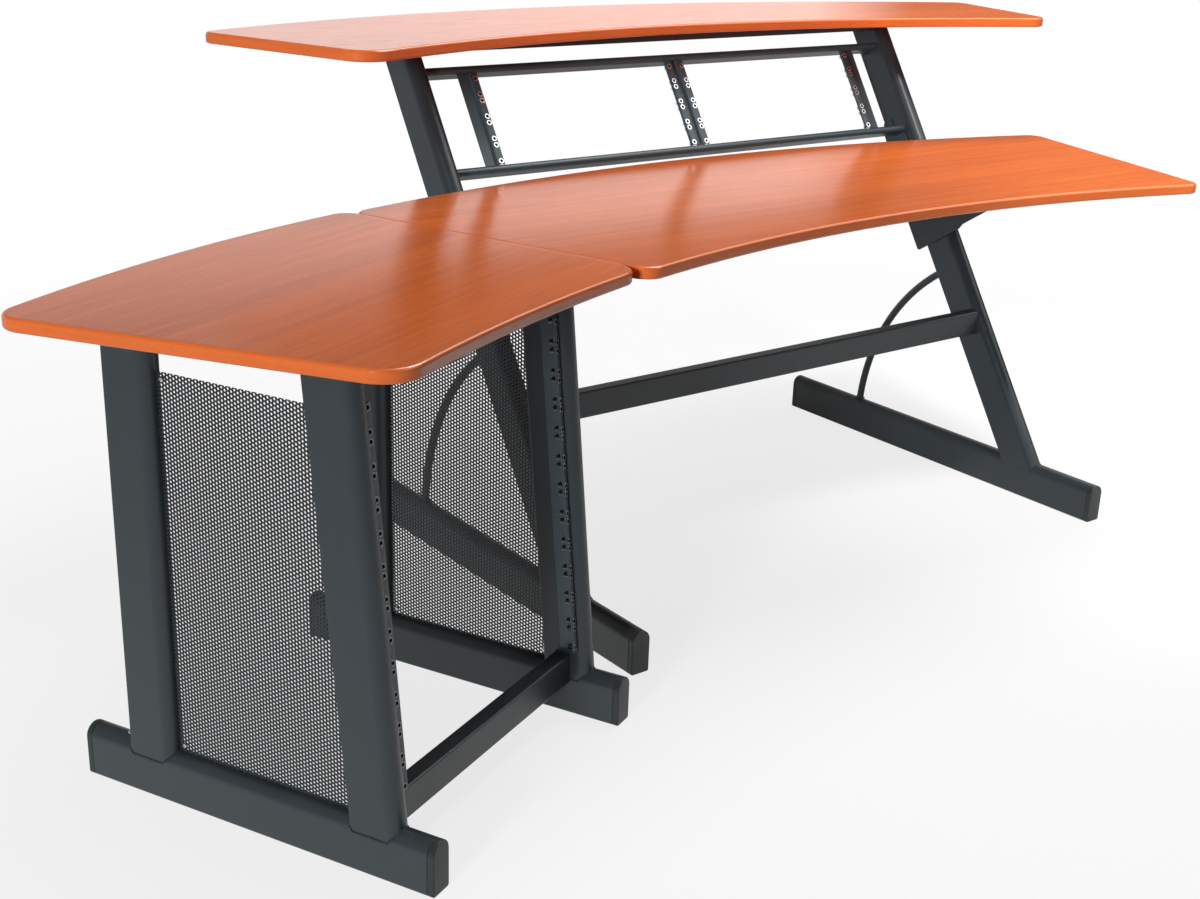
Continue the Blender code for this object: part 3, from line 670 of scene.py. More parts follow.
def noise(tree, vector, scale, detail, roughness, distortion=0.0):
    """Noise at a scale, which may hold one value for each axis."""
    if isinstance(scale, tuple):
        vector = add_node(tree, "ShaderNodeMapping", {"Vector": vector, "Scale": scale}).outputs[0]
        scale = 1.0
    inputs = {"Vector": vector, "Scale": scale, "Detail": detail, "Roughness": roughness}
    return add_node(tree, "ShaderNodeTexNoise", {**inputs, "Distortion": distortion}).outputs[0]


def node_group(kind, name, inputs, outputs):
    """A node group with named sockets; returns it, its inputs and its output node.

    inputs maps a name to a socket type and a default, and outputs a name to a socket type.
    """
    tree = bpy.data.node_groups.new(name, kind)
    for socket, (sort, default) in inputs.items():
        sort = "NodeSocket" + sort
        made = tree.interface.new_socket(name=socket, in_out="INPUT", socket_type=sort)
        if default is not None:
            made.default_value = default
    for socket, sort in outputs.items():
        sort = "NodeSocket" + sort
        tree.interface.new_socket(name=socket, in_out="OUTPUT", socket_type=sort)
    return tree, tree.nodes.new("NodeGroupInput").outputs, tree.nodes.new("NodeGroupOutput")


# Finishes


@cache
def wood_grain_group():
    """Grain along x of its vector, in metres: broad figure, fine fibres and short dark pores."""
    inputs = {"Vector": ("Vector", None), "Broad": ("Float", 1.0)}
    outputs = dict.fromkeys(("Figure", "Fibre", "Pores", "Height"), "Float")
    tree, given, out = node_group("ShaderNodeTree", "Wood grain", inputs, outputs)
    scaled = vector_maths(tree, "MULTIPLY", given["Vector"], given["Broad"])
    wide = noise(tree, scaled, (0.55, 7.0, 7.0), 3.0, 0.5, 0.6)
    narrow = noise(tree, scaled, (1.6, 60.0, 60.0), 6.0, 0.75, 0.4)
    fibre = noise(tree, given["Vector"], (9.0, 300.0, 300.0), 4.0, 0.65)
    pores = remap(tree, noise(tree, given["Vector"], (40.0, 900.0, 900.0), 2.0, 0.5), 0.60, 0.74)
    feed(out, {
        "Figure": remap(tree, mix_value(tree, 0.62, wide, narrow), 0.38, 0.62),
        "Fibre": remap(tree, fibre, 0.3, 0.7),
        "Pores": pores,
        "Height": maths(tree, "SUBTRACT", times(tree, fibre, 0.3), pores),
    })
    return tree


@cache
def coat_texture_group():
    """Orange peel, broad unevenness and fine dust for coated, moulded and plated surfaces."""
    inputs = {"Peel size": ("Float", 0.0012), "Patch size": ("Float", 0.06)}
    outputs = dict.fromkeys(("Peel", "Patches", "Dust"), "Float")
    tree, given, out = node_group("ShaderNodeTree", "Coat texture", inputs, outputs)
    place = tree.nodes.new("ShaderNodeTexCoord").outputs["Object"]
    peel = noise(tree, place, maths(tree, "DIVIDE", 1.0, given["Peel size"]), 2.0, 0.55)
    patches = noise(tree, place, maths(tree, "DIVIDE", 1.0, given["Patch size"]), 4.0, 0.6, 0.2)
    specks = remap(tree, noise(tree, place, 900.0, 2.0, 0.7), 0.45, 0.75)
    normal = tree.nodes.new("ShaderNodeNewGeometry").outputs["Normal"]
    upward = add_node(tree, "ShaderNodeSeparateXYZ", {0: normal}).outputs["Z"]
    dust = times(tree, times(tree, specks, patches), remap(tree, upward, 0.4, 1.0))
    feed(out, {"Peel": peel, "Patches": patches, "Dust": dust})
    return tree


def new_material(name):
    """A material with an empty tree; returns it, its tree and its Principled shader."""
    made = bpy.data.materials.new(name)
    made.use_nodes = True
    return made, made.node_tree, made.node_tree.nodes["Principled BSDF"]


def grouped(tree, group, inputs):
    """The outputs of a node group placed in a material."""
    return feed(add_node(tree, "ShaderNodeGroup", node_tree=group), inputs).outputs


def bump(tree, height, strength, distance):
    inputs = {"Height": height, "Strength": strength, "Distance": distance}
    return add_node(tree, "ShaderNodeBump", inputs).outputs["Normal"]


def rgba(colour_value, factor_value=1.0):
    return (*[channel * factor_value for channel in colour_value], 1.0)


def wood_finish(name, light, dark, broad, pore_strength):
    """Lacquered cherry: figure and fibres in the colour, pores under a glossy lacquer."""
    gloss = settings().board.gloss
    made, tree, shader = new_material(name)
    grain_map = add_node(tree, "ShaderNodeUVMap", uv_map="grain").outputs["UV"]
    grain = grouped(tree, wood_grain_group(), {"Vector": grain_map, "Broad": broad})
    base = rgba(light)
    for part, share, depth in (
        ("Figure", 0.62, 1.0), ("Fibre", 0.34, 0.85), ("Pores", pore_strength, 0.45)
    ):
        base = mix_colour(tree, times(tree, grain[part], share), base, rgba(dark, depth))
    feed(shader, {
        "Base Color": base,
        "Roughness": mix_value(tree, grain["Fibre"], gloss - 0.03, gloss + 0.05),
        "IOR": 1.48,
        "Normal": bump(tree, grain["Height"], 0.10, 0.00012),
    })
    return made


def coated_finish(name, base, roughness, peel_size, peel_strength, dust_share):
    """Powder coat or moulded plastic: peel in the bump, patches in colour and roughness."""
    made, tree, shader = new_material(name)
    coat = grouped(tree, coat_texture_group(), {"Peel size": peel_size, "Patch size": 0.06})
    patchy = mix_colour(tree, coat["Patches"], rgba(base, 0.86), rgba(base, 1.14))
    dust = times(tree, coat["Dust"], dust_share)
    change = mix_value(tree, coat["Patches"], roughness - 0.05, roughness + 0.07)
    feed(shader, {
        "Base Color": mix_colour(tree, dust, patchy, (0.42, 0.41, 0.39, 1.0)),
        "Roughness": maths(tree, "ADD", change, times(tree, dust, 0.3)),
        "Normal": bump(tree, coat["Peel"], peel_strength, 0.00015),
    })
    return made


def zinc_finish(name, plating):
    """Zinc plating with a faint warm and cool drift, and painted shade: nearly black in the
    threaded bores.
    """
    made, tree, shader = new_material(name)
    coat = grouped(tree, coat_texture_group(), {"Peel size": 0.0004, "Patch size": 0.006})
    red, green, blue = plating
    warm = rgba((red * 1.02, green * 0.98, blue * 0.90))
    cool = rgba((red * 0.94, green * 0.98, blue * 1.06))
    tint = mix_colour(tree, coat["Patches"], warm, cool)
    # Painted shade: the colour goes nearly black where the 'recess' attribute marks the bore, in
    # place of the shade in its threads.
    inside = add_node(tree, "ShaderNodeAttribute", attribute_name="recess").outputs["Fac"]
    feed(shader, {
        "Base Color": mix_colour(tree, inside, tint, rgba(plating, 0.04)),
        "Metallic": 1.0,
        "Roughness": mix_value(tree, coat["Patches"], 0.20, 0.36),
        "Normal": bump(tree, coat["Peel"], 0.12, 0.00005),
    })
    return made


@cache
def veneer():
    board = settings().board
    return wood_finish("Cherry veneer", board.light, board.dark, 1.0, 0.5)


@cache
def edge_wood():
    board = settings().board
    return wood_finish("Cherry edge band", board.band_light, board.band_dark, 2.5, 0.3)


@cache
def frame_coat():
    steel = settings().steel
    return coated_finish("Slate powder coat", steel.coat, steel.coat_roughness, 0.0014, 0.22, 0.10)


@cache
def rack_coat():
    return coated_finish("Rack powder coat", settings().steel.rack_coat, 0.38, 0.0012, 0.20, 0.08)


@cache
def panel_coat_with_painted_shade():
    # Painted shade: the panels have the frame's coat, here darkened to 0.6 of it for the shade seen
    # through their holes.
    base = [channel * 0.6 for channel in settings().steel.coat]
    return coated_finish("Panel coat with painted shade", base, 0.48, 0.0010, 0.15, 0.05)


@cache
def cap_plastic():
    return coated_finish("Cap plastic", settings().steel.cap, 0.50, 0.0006, 0.30, 0.12)


@cache
def zinc():
    return zinc_finish("Bright zinc", settings().rack.zinc)


@cache
def dark_zinc():
    return zinc_finish("Black zinc", settings().rack.dark_zinc)


# Geometry Nodes


def geometry_group(name, inputs):
    """A tree whose first input and only output are a geometry, and whose last input is a finish."""
    inputs = {"Geometry": ("Geometry", None), **inputs, "Finish": ("Material", None)}
    return node_group("GeometryNodeTree", name, inputs, {"Geometry": "Geometry"})


def real_copies(tree, points, source, **more):
    """Copies of an object at points, made real."""
    shown = add_node(tree, "GeometryNodeObjectInfo", {"Object": source}).outputs["Geometry"]
    inputs = {"Points": points, "Instance": shown, **more}
    placed = add_node(tree, "GeometryNodeInstanceOnPoints", inputs).outputs[0]
    return add_node(tree, "GeometryNodeRealizeInstances", {0: placed}).outputs[0]


def coat_and_end(tree, given, out, geometry):
    """Ends a tree with its finish."""
    coated = add_node(tree, "GeometryNodeSetMaterial", {0: geometry})
    feed(out, {0: feed(coated, {"Material": given["Finish"]}).outputs[0]})
    return tree


def run_tree(source, tree, values, name):
    """Puts a tree on an object with its inputs set by identifier, and bakes the result."""
    modifier = source.modifiers.new(tree.name, "NODES")
    modifier.node_group = tree
    for item in tree.interface.items_tree:
        if item.in_out == "INPUT" and item.name in values:
            modifier[item.identifier] = values[item.name]
    return baked(source, name)


def random_value(tree, given, low, high):
    """A seeded random value for each point."""
    inputs = {2: low, 3: high, "Seed": given["Seed"]}
    return add_node(tree, "FunctionNodeRandomValue", inputs, data_type="FLOAT").outputs[1]


@cache
def fastener_tree():
    """A shape at every point, each turned about its own axis by a seeded random angle."""
    tree, given, out = geometry_group("Fasteners", {
        "Shape": ("Object", None), "Largest turn": ("Float", 0.0), "Seed": ("Int", 0),
    })
    turn = random_value(tree, given, 0.0, given["Largest turn"])
    about = add_node(tree, "ShaderNodeCombineXYZ", {1: turn}).outputs[0]
    copies = real_copies(tree, given["Geometry"], given["Shape"], Rotation=about)
    return coat_and_end(tree, given, out, copies)


@cache
def weld_tree():
    """Overlapping ripples along a path, which make a weld bead."""
    tree, given, out = geometry_group("Weld bead", {
        "Ripple": ("Object", None), "Pitch": ("Float", 0.002), "Seed": ("Int", 3),
    })
    path = {"Curve": given["Geometry"], "Length": given["Pitch"]}
    steps = add_node(tree, "GeometryNodeResampleCurve", path, mode="LENGTH").outputs[0]
    way = tree.nodes.new("GeometryNodeInputTangent").outputs[0]
    aim = add_node(tree, "FunctionNodeAlignRotationToVector", {"Vector": way}, axis="Z")
    size = random_value(tree, given, 0.88, 1.10)
    copies = real_copies(tree, steps, given["Ripple"], Rotation=aim.outputs[0], Scale=size)
    smooth = add_node(tree, "GeometryNodeSetShadeSmooth", {0: copies}).outputs[0]
    return coat_and_end(tree, given, out, smooth)


@cache
def lattice_tree():
    """Cells of a perforated sheet on a staggered lattice, welded into one skin."""
    tree, given, out = geometry_group("Perforated sheet", {
        "Cell": ("Object", None), "Columns": ("Int", 10), "Rows": ("Int", 10),
        "Column pitch": ("Float", 0.005), "Hole pitch": ("Float", 0.006),
    })
    index = tree.nodes.new("GeometryNodeInputIndex").outputs[0]
    column = maths(tree, "FLOOR", maths(tree, "DIVIDE", index, given["Rows"]), 0.0)
    row = maths(tree, "SUBTRACT", index, times(tree, column, given["Rows"]))
    stagger = times(tree, maths(tree, "MODULO", column, 2.0), 0.5)
    across_by = times(tree, column, given["Column pitch"])
    up_by = times(tree, maths(tree, "ADD", row, stagger), given["Hole pitch"])
    spot = add_node(tree, "ShaderNodeCombineXYZ", {0: across_by, 1: up_by}).outputs[0]
    count = times(tree, given["Columns"], given["Rows"])
    points = add_node(tree, "GeometryNodePoints", {"Count": count, "Position": spot}).outputs[0]
    copies = real_copies(tree, points, given["Cell"])
    joined = add_node(tree, "GeometryNodeMergeByDistance", {0: copies, "Distance": SEAM / 5})
    return coat_and_end(tree, given, out, joined.outputs[0])


@cache
def bent_bar_tree():
    """A round bar bent to an arc about the origin, in the plane of x and y."""
    tree, given, out = geometry_group("Bent bar", {
        "Bar radius": ("Float", 0.008), "Bend radius": ("Float", 0.4),
        "Start": ("Float", 0.0), "Sweep": ("Float", 1.0),
    })
    bend = {"Resolution": ARC_STEPS, "Radius": given["Bend radius"]}
    bend |= {"Start Angle": given["Start"], "Sweep Angle": given["Sweep"]}
    arc = add_node(tree, "GeometryNodeCurveArc", bend).outputs[0]
    ring = {"Resolution": BRACE_RING_STEPS, "Radius": given["Bar radius"]}
    section = add_node(tree, "GeometryNodeCurvePrimitiveCircle", ring).outputs[0]
    skin = {"Curve": arc, "Profile Curve": section, "Fill Caps": True}
    skin = add_node(tree, "GeometryNodeCurveToMesh", skin).outputs[0]
    smooth = add_node(tree, "GeometryNodeSetShadeSmooth", {0: skin}).outputs[0]
    real = add_node(tree, "GeometryNodeRealizeInstances", {0: smooth}).outputs[0]
    return coat_and_end(tree, given, out, real)


# Boards


def edge_shares(outline, left):
    """How much of its edge rounding each point keeps: little along the end at the joint."""
    right_end = 2 * BOARD_CORNER_STEPS + ARC_STEPS
    start = 2 * right_end + BACK_STEPS if left else right_end
    shares = [1.0] * len(outline)
    for k in range(-JOINT_FADE, BACK_STEPS + JOINT_FADE + 1):
        beyond = max(-k, k - BACK_STEPS, 0) / (JOINT_FADE + 1)
        shares[(start + k) % len(outline)] = JOINT_ROUND + (1 - JOINT_ROUND) * beyond
    return shares


def band_rings(outline, top, board, shares):
    """Rings of the edge band, from its upper inner edge round the rounded edge to the lower one."""
    low = top - BOARD_THICKNESS
    angles = [math.pi / 2 * k / EDGE_STEPS for k in range(EDGE_STEPS + 1)]
    upper, lower = board.top_round, board.foot_round
    downs = [(upper * (1 - math.sin(angle)), upper * (math.cos(angle) - 1)) for angle in angles]
    downs.append((0.0, -upper - SUPPORT))
    ups = [(lower * (1 - math.cos(angle)), lower * (1 - math.sin(angle))) for angle in angles]
    ups.insert(0, (0.0, lower + SUPPORT))
    inner = inset(outline, board.band)
    rings = [[(x, y, top) for x, y in inner]]
    for level, steps in ((top, downs), (low, ups)):
        for depth, rise in steps:
            ring = []
            for rim, moved, share in zip(outline, inset(outline, depth), shares):
                ring.append((*Vector(rim).lerp(Vector(moved), share), level + rise * share))
            rings.append(ring)
    rings.append([(x, y, low) for x, y in inner])
    return rings


def map_grain_flat(builder):
    """Grain along local x, for a board's faces."""
    layer = builder.loops.layers.uv.new("grain")
    for face in builder.faces:
        for loop in face.loops:
            loop[layer].uv = loop.vert.co.xy


def map_grain_round(builder, ring_count, outline):
    """Grain along the edge band: x is the way round, y is the way down the profile."""
    layer = builder.loops.layers.uv.new("grain")
    count = len(outline)
    ways = [0.0]
    for _, here, after in neighbours(outline):
        ways.append(ways[-1] + (after - here).length)
    builder.verts.index_update()
    for face in builder.faces:
        spots = [divmod(loop.vert.index, count) for loop in face.loops]
        wraps = {point for _, point in spots} == {0, count - 1}
        last_strip = max(ring for ring, _ in spots) > 1
        for loop, (ring, point) in zip(face.loops, spots):
            down = ring_count if ring == 0 and last_strip else ring
            along = ways[count if wraps and point == 0 else point]
            loop[layer].uv = (along, BAND_GRAIN_STEP * down)


def make_board(name, outline, place, top, shares):
    """A veneered board and the solid band round its edge."""
    board = settings().board
    core = prism(inset(outline, board.band + SEAM), top - BOARD_THICKNESS, top)
    map_grain_flat(core)
    finish_piece(shape(name + "_veneer", core, place), veneer(), [name])
    rings = band_rings(outline, top, board, shares)
    band = loft(rings, closed_loop=True)
    map_grain_round(band, len(rings), outline)
    finish_piece(shape(name + "_band", band, place), edge_wood(), [name + "_edge"])


class DESK_OT_boards(bpy.types.Operator):
    """Main desktop, side desktop and top shelf, each with its edge band"""

    bl_idname = "desk.boards"
    bl_label = "Boards"

    def execute(self, context):
        main = even_outline(
            MAIN_FRONT_HALF, MAIN_REAR_HALF, MAIN_REAR_ARC, MAIN_FRONT_ARC, MAIN_RADII
        )
        shelf = even_outline(
            SHELF_FRONT_HALF, SHELF_REAR_HALF, SHELF_REAR_ARC, SHELF_FRONT_ARC, SHELF_RADII
        )
        side = side_outline()
        make_board("main_desktop", main, FLOOR, DESK_TOP, edge_shares(main, left=True))
        make_board("side_desktop", side, CABINET, DESK_TOP, edge_shares(side, left=False))
        make_board("top_shelf", shelf, FLOOR, SHELF_TOP, [1.0] * len(shelf))
        return {"FINISHED"}


# Big tubes


def raised(place, point, height):
    """The point on the tube's line through an outline point, at a height over the floor."""
    start = place @ Vector((*point, 0.0))
    way = place.col[2].xyz
    return start + way * (height - start.z) / way.z


def foot_ring(place, outline):
    """Where a tube meets the round top of the base tube under it."""
    half = TUBE_WIDTH / 2
    return [
        raised(place, (x, y), TUBE_DEPTH - half + math.sqrt(max(0.0, half**2 - x**2)))
        for x, y in outline
    ]


def standing_tubes():
    """(name, place, outline, top height) of the two legs and the four cabinet posts."""
    leg, post = (loaf_outline(TUBE_WIDTH, TUBE_DEPTH, tip) for tip in (LEG_TIP, 0.0))
    leg_top, post_top = (under - LUG_THICKNESS - GAP for under in (UNDER_SHELF, UNDER_DESK))
    tubes = [
        (side + "_leg", shifted(TIER, x=sign * LEG_CENTRE), leg, leg_top)
        for side, sign in DESK_SIDES
    ]
    for side, x, _ in CABINET_SIDES:
        for end, place in (
            ("front", shifted(CABINET_FRONT, x=x)), ("rear", shifted(CABINET, x, REAR_POST_TIP))
        ):
            tubes.append((f"cabinet_{side}_{end}_post", place, post, post_top))
    return tubes


class DESK_OT_uprights(bpy.types.Operator):
    """The two leaning legs and the four cabinet posts"""

    bl_idname = "desk.uprights"
    bl_label = "Legs and posts"

    def execute(self, context):
        for name, place, outline, top in standing_tubes():
            rings = [foot_ring(place, outline)]
            for height in (top - TUBE_CORNER, top):
                rings.append([raised(place, point, height) for point in outline])
            finish_piece(shape(name + "_tube", loft(rings)), frame_coat(), [name])
        return {"FINISHED"}


def cap_layers():
    """The cap's face with a soft edge, its body, and a fine groove where it meets the tube."""
    face = loaf_outline(TUBE_WIDTH, TUBE_DEPTH, TUBE_DEPTH)
    layers = []
    for k in range(EDGE_STEPS + 1):
        angle = math.pi / 2 * k / EDGE_STEPS
        soft = inset(face, CAP_EASE * (1 - math.sin(angle)))
        layers.append((soft, CAP_EASE * (1 - math.cos(angle))))
    layers.append((face, CAP_LENGTH - 2 * CAP_GROOVE))
    groove = inset(face, CAP_GROOVE)
    return layers + [(groove, CAP_LENGTH + depth) for depth in (-CAP_GROOVE, CAP_GROOVE)]


class DESK_OT_bases(bpy.types.Operator):
    """The four base tubes on the floor, each with a plastic cap in both ends"""

    bl_idname = "desk.bases"
    bl_label = "Base tubes and caps"

    def execute(self, context):
        outline = loaf_outline(TUBE_WIDTH, TUBE_DEPTH, TUBE_DEPTH)
        tubes = [
            (side, shifted(FLOOR, x=sign * LEG_CENTRE), BASE_FRONT, BASE_REAR)
            for side, sign in DESK_SIDES
        ]
        for side, x, _ in CABINET_SIDES:
            place = shifted(CABINET, x=x)
            tubes.append(("cabinet_" + side, place, CABINET_BASE_FRONT, CABINET_BASE_REAR))
        for name, place, front, rear in tubes:
            lying = leaned(place, math.pi / 2)
            low, high = front + CAP_LENGTH + GAP, rear - CAP_LENGTH - GAP
            tube = shape(name + "_base", prism(outline, low, high, GAP), lying)
            finish_piece(tube, frame_coat(), [name + "_base_tube"])
            for end, start, way in (("front", front, 1.0), ("rear", rear, -1.0)):
                layers = [(ring, start + way * depth) for ring, depth in cap_layers()]
                cap = shape(f"{name}_{end}_plug", stacked(layers), lying)
                finish_piece(cap, cap_plastic(), [f"{name}_{end}_cap"])
        return {"FINISHED"}


def brace_point(angle):
    """A point of the brace's arc, in y and z around the working origin."""
    y = BRACE_ARC_Y + BRACE_ARC_RADIUS * math.cos(angle)
    return y, BRACE_ARC_Z + BRACE_ARC_RADIUS * math.sin(angle)


def tier_point(y, z):
    """A point of the floor frame's y and z, given in the tier's y and z."""
    return tuple((TIER_ON_FLOOR.inverted() @ Vector((0.0, y, z))).yz)


def brace_angles():
    """Where the brace's bar enters the base tube and the back of the leg, as arc angles."""
    low = math.asin((TUBE_DEPTH - BRACE_ARC_Z - BRACE_BITE) / BRACE_ARC_RADIUS)
    high = low
    while tier_point(*brace_point(high))[0] >= TUBE_DEPTH - LEG_TIP - BRACE_BITE:
        high += math.radians(0.1)
    return low, high


class DESK_OT_braces(bpy.types.Operator):
    """The two bent bars from the back of a leg to its base tube"""

    bl_idname = "desk.braces"
    bl_label = "Arc braces"

    def execute(self, context):
        low, high = brace_angles()
        values = {
            "Bar radius": settings().steel.brace_radius, "Bend radius": BRACE_ARC_RADIUS,
            "Start": low, "Sweep": high - low, "Finish": frame_coat(),
        }
        for side, sign in DESK_SIDES:
            seed = link_object("bar_seed", bpy.data.meshes.new("bar_seed"))
            bar = run_tree(seed, bent_bar_tree(), values, side + "_brace_bar")
            centre = shifted(FLOOR, sign * LEG_CENTRE, BRACE_ARC_Y, BRACE_ARC_Z)
            bar.data.transform(across(centre))
            finish_piece(bar, None, [side + "_arc_brace"])
        return {"FINISHED"}


# Bars between the legs


def rack_tube_outline(low):
    """The flat rack tube's section in the tier's y and z, its round nose to the front."""
    section = loaf_outline(RACK_TUBE_HEIGHT, RACK_TUBE_DEPTH, RACK_TUBE_TIP, RACK_TUBE_CORNER)
    return [(y, low + RACK_TUBE_HEIGHT / 2 + x) for x, y in section]


def bars():
    """(name, outline, place, left end, right end) of every bar between two uprights."""
    side = TUBE_WIDTH / 2 + GAP
    reach = LEG_CENTRE - side
    between_legs = (-reach, reach)
    beam_bottom = UNDER_SHELF - BEAM_HEIGHT
    crossbar = bar_outline(CROSSBAR_FRONT, CROSSBAR_BOTTOM, CROSSBAR_DEPTH, CROSSBAR_HEIGHT)
    beam = bar_outline(BEAM_FRONT, beam_bottom, BEAM_DEPTH, BEAM_HEIGHT)
    low = bar_outline(CABINET_BAR_FRONT, CABINET_BAR_BOTTOM, CROSSBAR_DEPTH, CROSSBAR_HEIGHT)
    return (
        ("lower_crossbar", crossbar, FLOOR, *between_legs),
        ("shelf_beam", beam, FLOOR, *between_legs),
        ("lower_rack_tube", rack_tube_outline(LOWER_RACK_TUBE), TIER, *between_legs),
        ("upper_rack_tube", rack_tube_outline(UPPER_RACK_TUBE), TIER, *between_legs),
        ("cabinet_crossbar", low, CABINET, CABINET_LEFT + side, CABINET_RIGHT - side),
    )


class DESK_OT_bars(bpy.types.Operator):
    """Crossbars, shelf beam and rack tubes"""

    bl_idname = "desk.bars"
    bl_label = "Bars"

    def execute(self, context):
        for name, outline, place, left, right in bars():
            bar = shape(name + "_bar", prism(outline, left, right), across(place))
            coat = rack_coat() if "rack" in name else frame_coat()
            finish_piece(bar, coat, [name])
        return {"FINISHED"}


# Brackets


def bracket_outline():
    """The bracket's plate in the tier's y and z, from its foot round to its front."""
    desk_rear = tier_point(BRACKET_DESK_REAR, UNDER_DESK)
    hook_front = RACK_TUBE_DEPTH - RACK_TUBE_TIP + GAP
    plate_top = LOWER_RACK_TUBE - GAP
    points = [
        (BRACKET_FOOT_REAR, BRACKET_FOOT),
        (BRACKET_FOOT_REAR, BRACKET_BEND),
        BRACKET_WAIST,
        BRACKET_EAR,
        (hook_front, BRACKET_EAR[1]),
        (hook_front, plate_top),
        (BRACKET_STEM, plate_top),
        (BRACKET_STEM, desk_rear[1] + BRACKET_STEM_RISE),
        desk_rear,
        tier_point(BRACKET_NOSE, UNDER_DESK),
        *BRACKET_FOOT_FRONT,
    ]
    return rounded(points, BRACKET_RADII)


class DESK_OT_brackets(bpy.types.Operator):
    """Brackets on the legs that carry the main desktop"""

    bl_idname = "desk.brackets"
    bl_label = "Desk brackets"

    def execute(self, context):
        outer = LEG_CENTRE - TUBE_WIDTH / 2 - GAP
        path = [(0.0, -FLANGE_WIDTH / 2), (0.0, 0.0), (FLANGE_WIDTH, 0.0)]
        angle = bent_sheet(path, PLATE_THICKNESS)
        lengthwise = FLOOR @ Matrix(((1, 0, 0, 0), (0, 0, 1, 0), (0, 1, 0, 0), (0, 0, 0, 1)))
        for side, sign in DESK_SIDES:
            ends = sorted((sign * outer, sign * (outer - PLATE_THICKNESS)))
            whole = prism(bracket_outline(), *ends, PLATE_THICKNESS / 8)
            whole.transform(across(TIER))
            section = [(sign * (outer - x), UNDER_DESK + y) for x, y in angle]
            flange = prism(section, FLANGE_FRONT, FLANGE_REAR)
            flange.transform(lengthwise)
            mesh = plain_mesh("flange", flange)
            whole.from_mesh(mesh)
            bpy.data.meshes.remove(mesh)
            plate = shape(side + "_bracket_plate", whole)
            finish_piece(plate, frame_coat(), [side + "_desk_bracket"])
        return {"FINISHED"}


# Rack strips and rails


def rack_hole_heights(units):
    """Pairs half an inch apart that straddle each unit line, from the first hole up."""
    pairs = [unit * RACK_UNIT + step for unit in range(units + 1) for step in (-HOLE_STEP, 0.0)]
    return pairs[1:-1]


def rack_columns():
    """(name, outline, low, high, place, holes) of every strip and rail; a hole is (x, y, z)."""
    half_span, half_clear = HOLE_SPAN / 2, CLEAR_WIDTH / 2
    opening = BAY_HOLE_INNER + half_span + half_clear
    step = opening + SIDE_STRIP_FACE
    side_path = [
        (-opening, STRIP_RECESS), (-opening, 0.0), (-step, 0.0), (-step, STRIP_RECESS),
        (-step - SIDE_STRIP_EAR, STRIP_RECESS),
    ]
    inner = BAY_HOLE_INNER + half_span - half_clear
    groove = CENTRE_STRIP_HALF_GROOVE
    half_path = [(inner, STRIP_RECESS), (inner, 0.0), (groove, 0.0), (groove, STRIP_RECESS)]
    left = bent_sheet(side_path, STRIP_THICKNESS)
    centre = bent_sheet(half_path + [(-x, y) for x, y in half_path[::-1]], STRIP_THICKNESS)
    low = LOWER_RACK_TUBE + RACK_TUBE_HEIGHT + GAP
    high = UPPER_RACK_TUBE - GAP
    outer_hole = BAY_HOLE_INNER + HOLE_SPAN
    columns = []
    for side, outline, places in (
        ("left", left, (-outer_hole,)),
        ("centre", centre, (-BAY_HOLE_INNER, BAY_HOLE_INNER)),
        ("right", [(-x, y) for x, y in left], (outer_hole,)),
    ):
        holes = [(x, 0.0, z) for x in places for z in rack_hole_heights(TIER_UNITS)]
        columns.append((side + "_rack_strip", outline, low, high, TIER, holes))
    middle = (CABINET_LEFT + CABINET_RIGHT) / 2
    post_face = CABINET_LEFT + TUBE_WIDTH / 2 + GAP - middle
    rail_path = [
        (-half_clear, RAIL_SETBACK), (post_face, RAIL_SETBACK),
        (post_face, RAIL_SETBACK + RAIL_WEB_DEPTH),
    ]
    rail = bent_sheet(rail_path, STRIP_THICKNESS)
    first, top = RAIL_BOTTOM + HOLE_STEP / 2, RAIL_BOTTOM + RAIL_UNITS * RACK_UNIT
    for side, _, inward in CABINET_SIDES:
        outline = [(middle + inward * x, y) for x, y in rail]
        x = middle - inward * half_span
        holes = [(x, RAIL_SETBACK, first + z) for z in rack_hole_heights(RAIL_UNITS)]
        columns.append((f"cabinet_{side}_rail", outline, RAIL_BOTTOM, top, CABINET_FRONT, holes))
    return columns


def turned_shape(name, profile):
    """A body turned about local y from (radius, y) pairs, closed on itself or at the axis."""
    turns = [2 * math.pi * k / FASTENER_SEGMENTS for k in range(FASTENER_SEGMENTS)]
    rings = [[(r * math.cos(turn), y, r * math.sin(turn)) for turn in turns] for r, y in profile]
    made = loft(rings, closed_loop=profile[0][0] > 0)
    bmesh.ops.remove_doubles(made, verts=made.verts, dist=SEAM / 100)
    return shape(name, made)


def insert_template():
    """A threaded insert: flat collar, threaded bore, and a barrel behind the strip."""
    rack = settings().rack
    collar, bore, barrel = rack.collar_radius, rack.bore_radius, rack.barrel_radius
    back, lead, rise = STRIP_THICKNESS + rack.barrel_length, THREAD_LEAD, COLLAR_HEIGHT
    profile = [
        (collar, 0.0), (collar, -rise * 0.6), (collar - rise * 0.5, -rise), (bore + lead, -rise),
        (bore, -rise + lead),
    ]
    pitch = (back - lead) / THREADS
    for k in range(THREADS):
        profile += [(bore, pitch * k + lead / 3), (bore - lead / 3, pitch * (k + 0.5))]
    profile += [
        (bore, back - lead), (bore + lead / 2, back), (barrel - lead, back),
        (barrel, back - lead), (barrel, STRIP_THICKNESS + SEAM),
        (barrel - SEAM, STRIP_THICKNESS), (barrel - SEAM, 0.0),
    ]
    made = turned_shape("insert_template", profile)
    # The 'recess' attribute marks the bore, which the zinc finish darkens to nearly black as
    # painted shade.
    recess = made.data.attributes.new("recess", "FLOAT", "POINT")
    for vertex in made.data.vertices:
        recess.data[vertex.index].value = float(vertex.co.xz.length < bore + lead / 4)
    return made


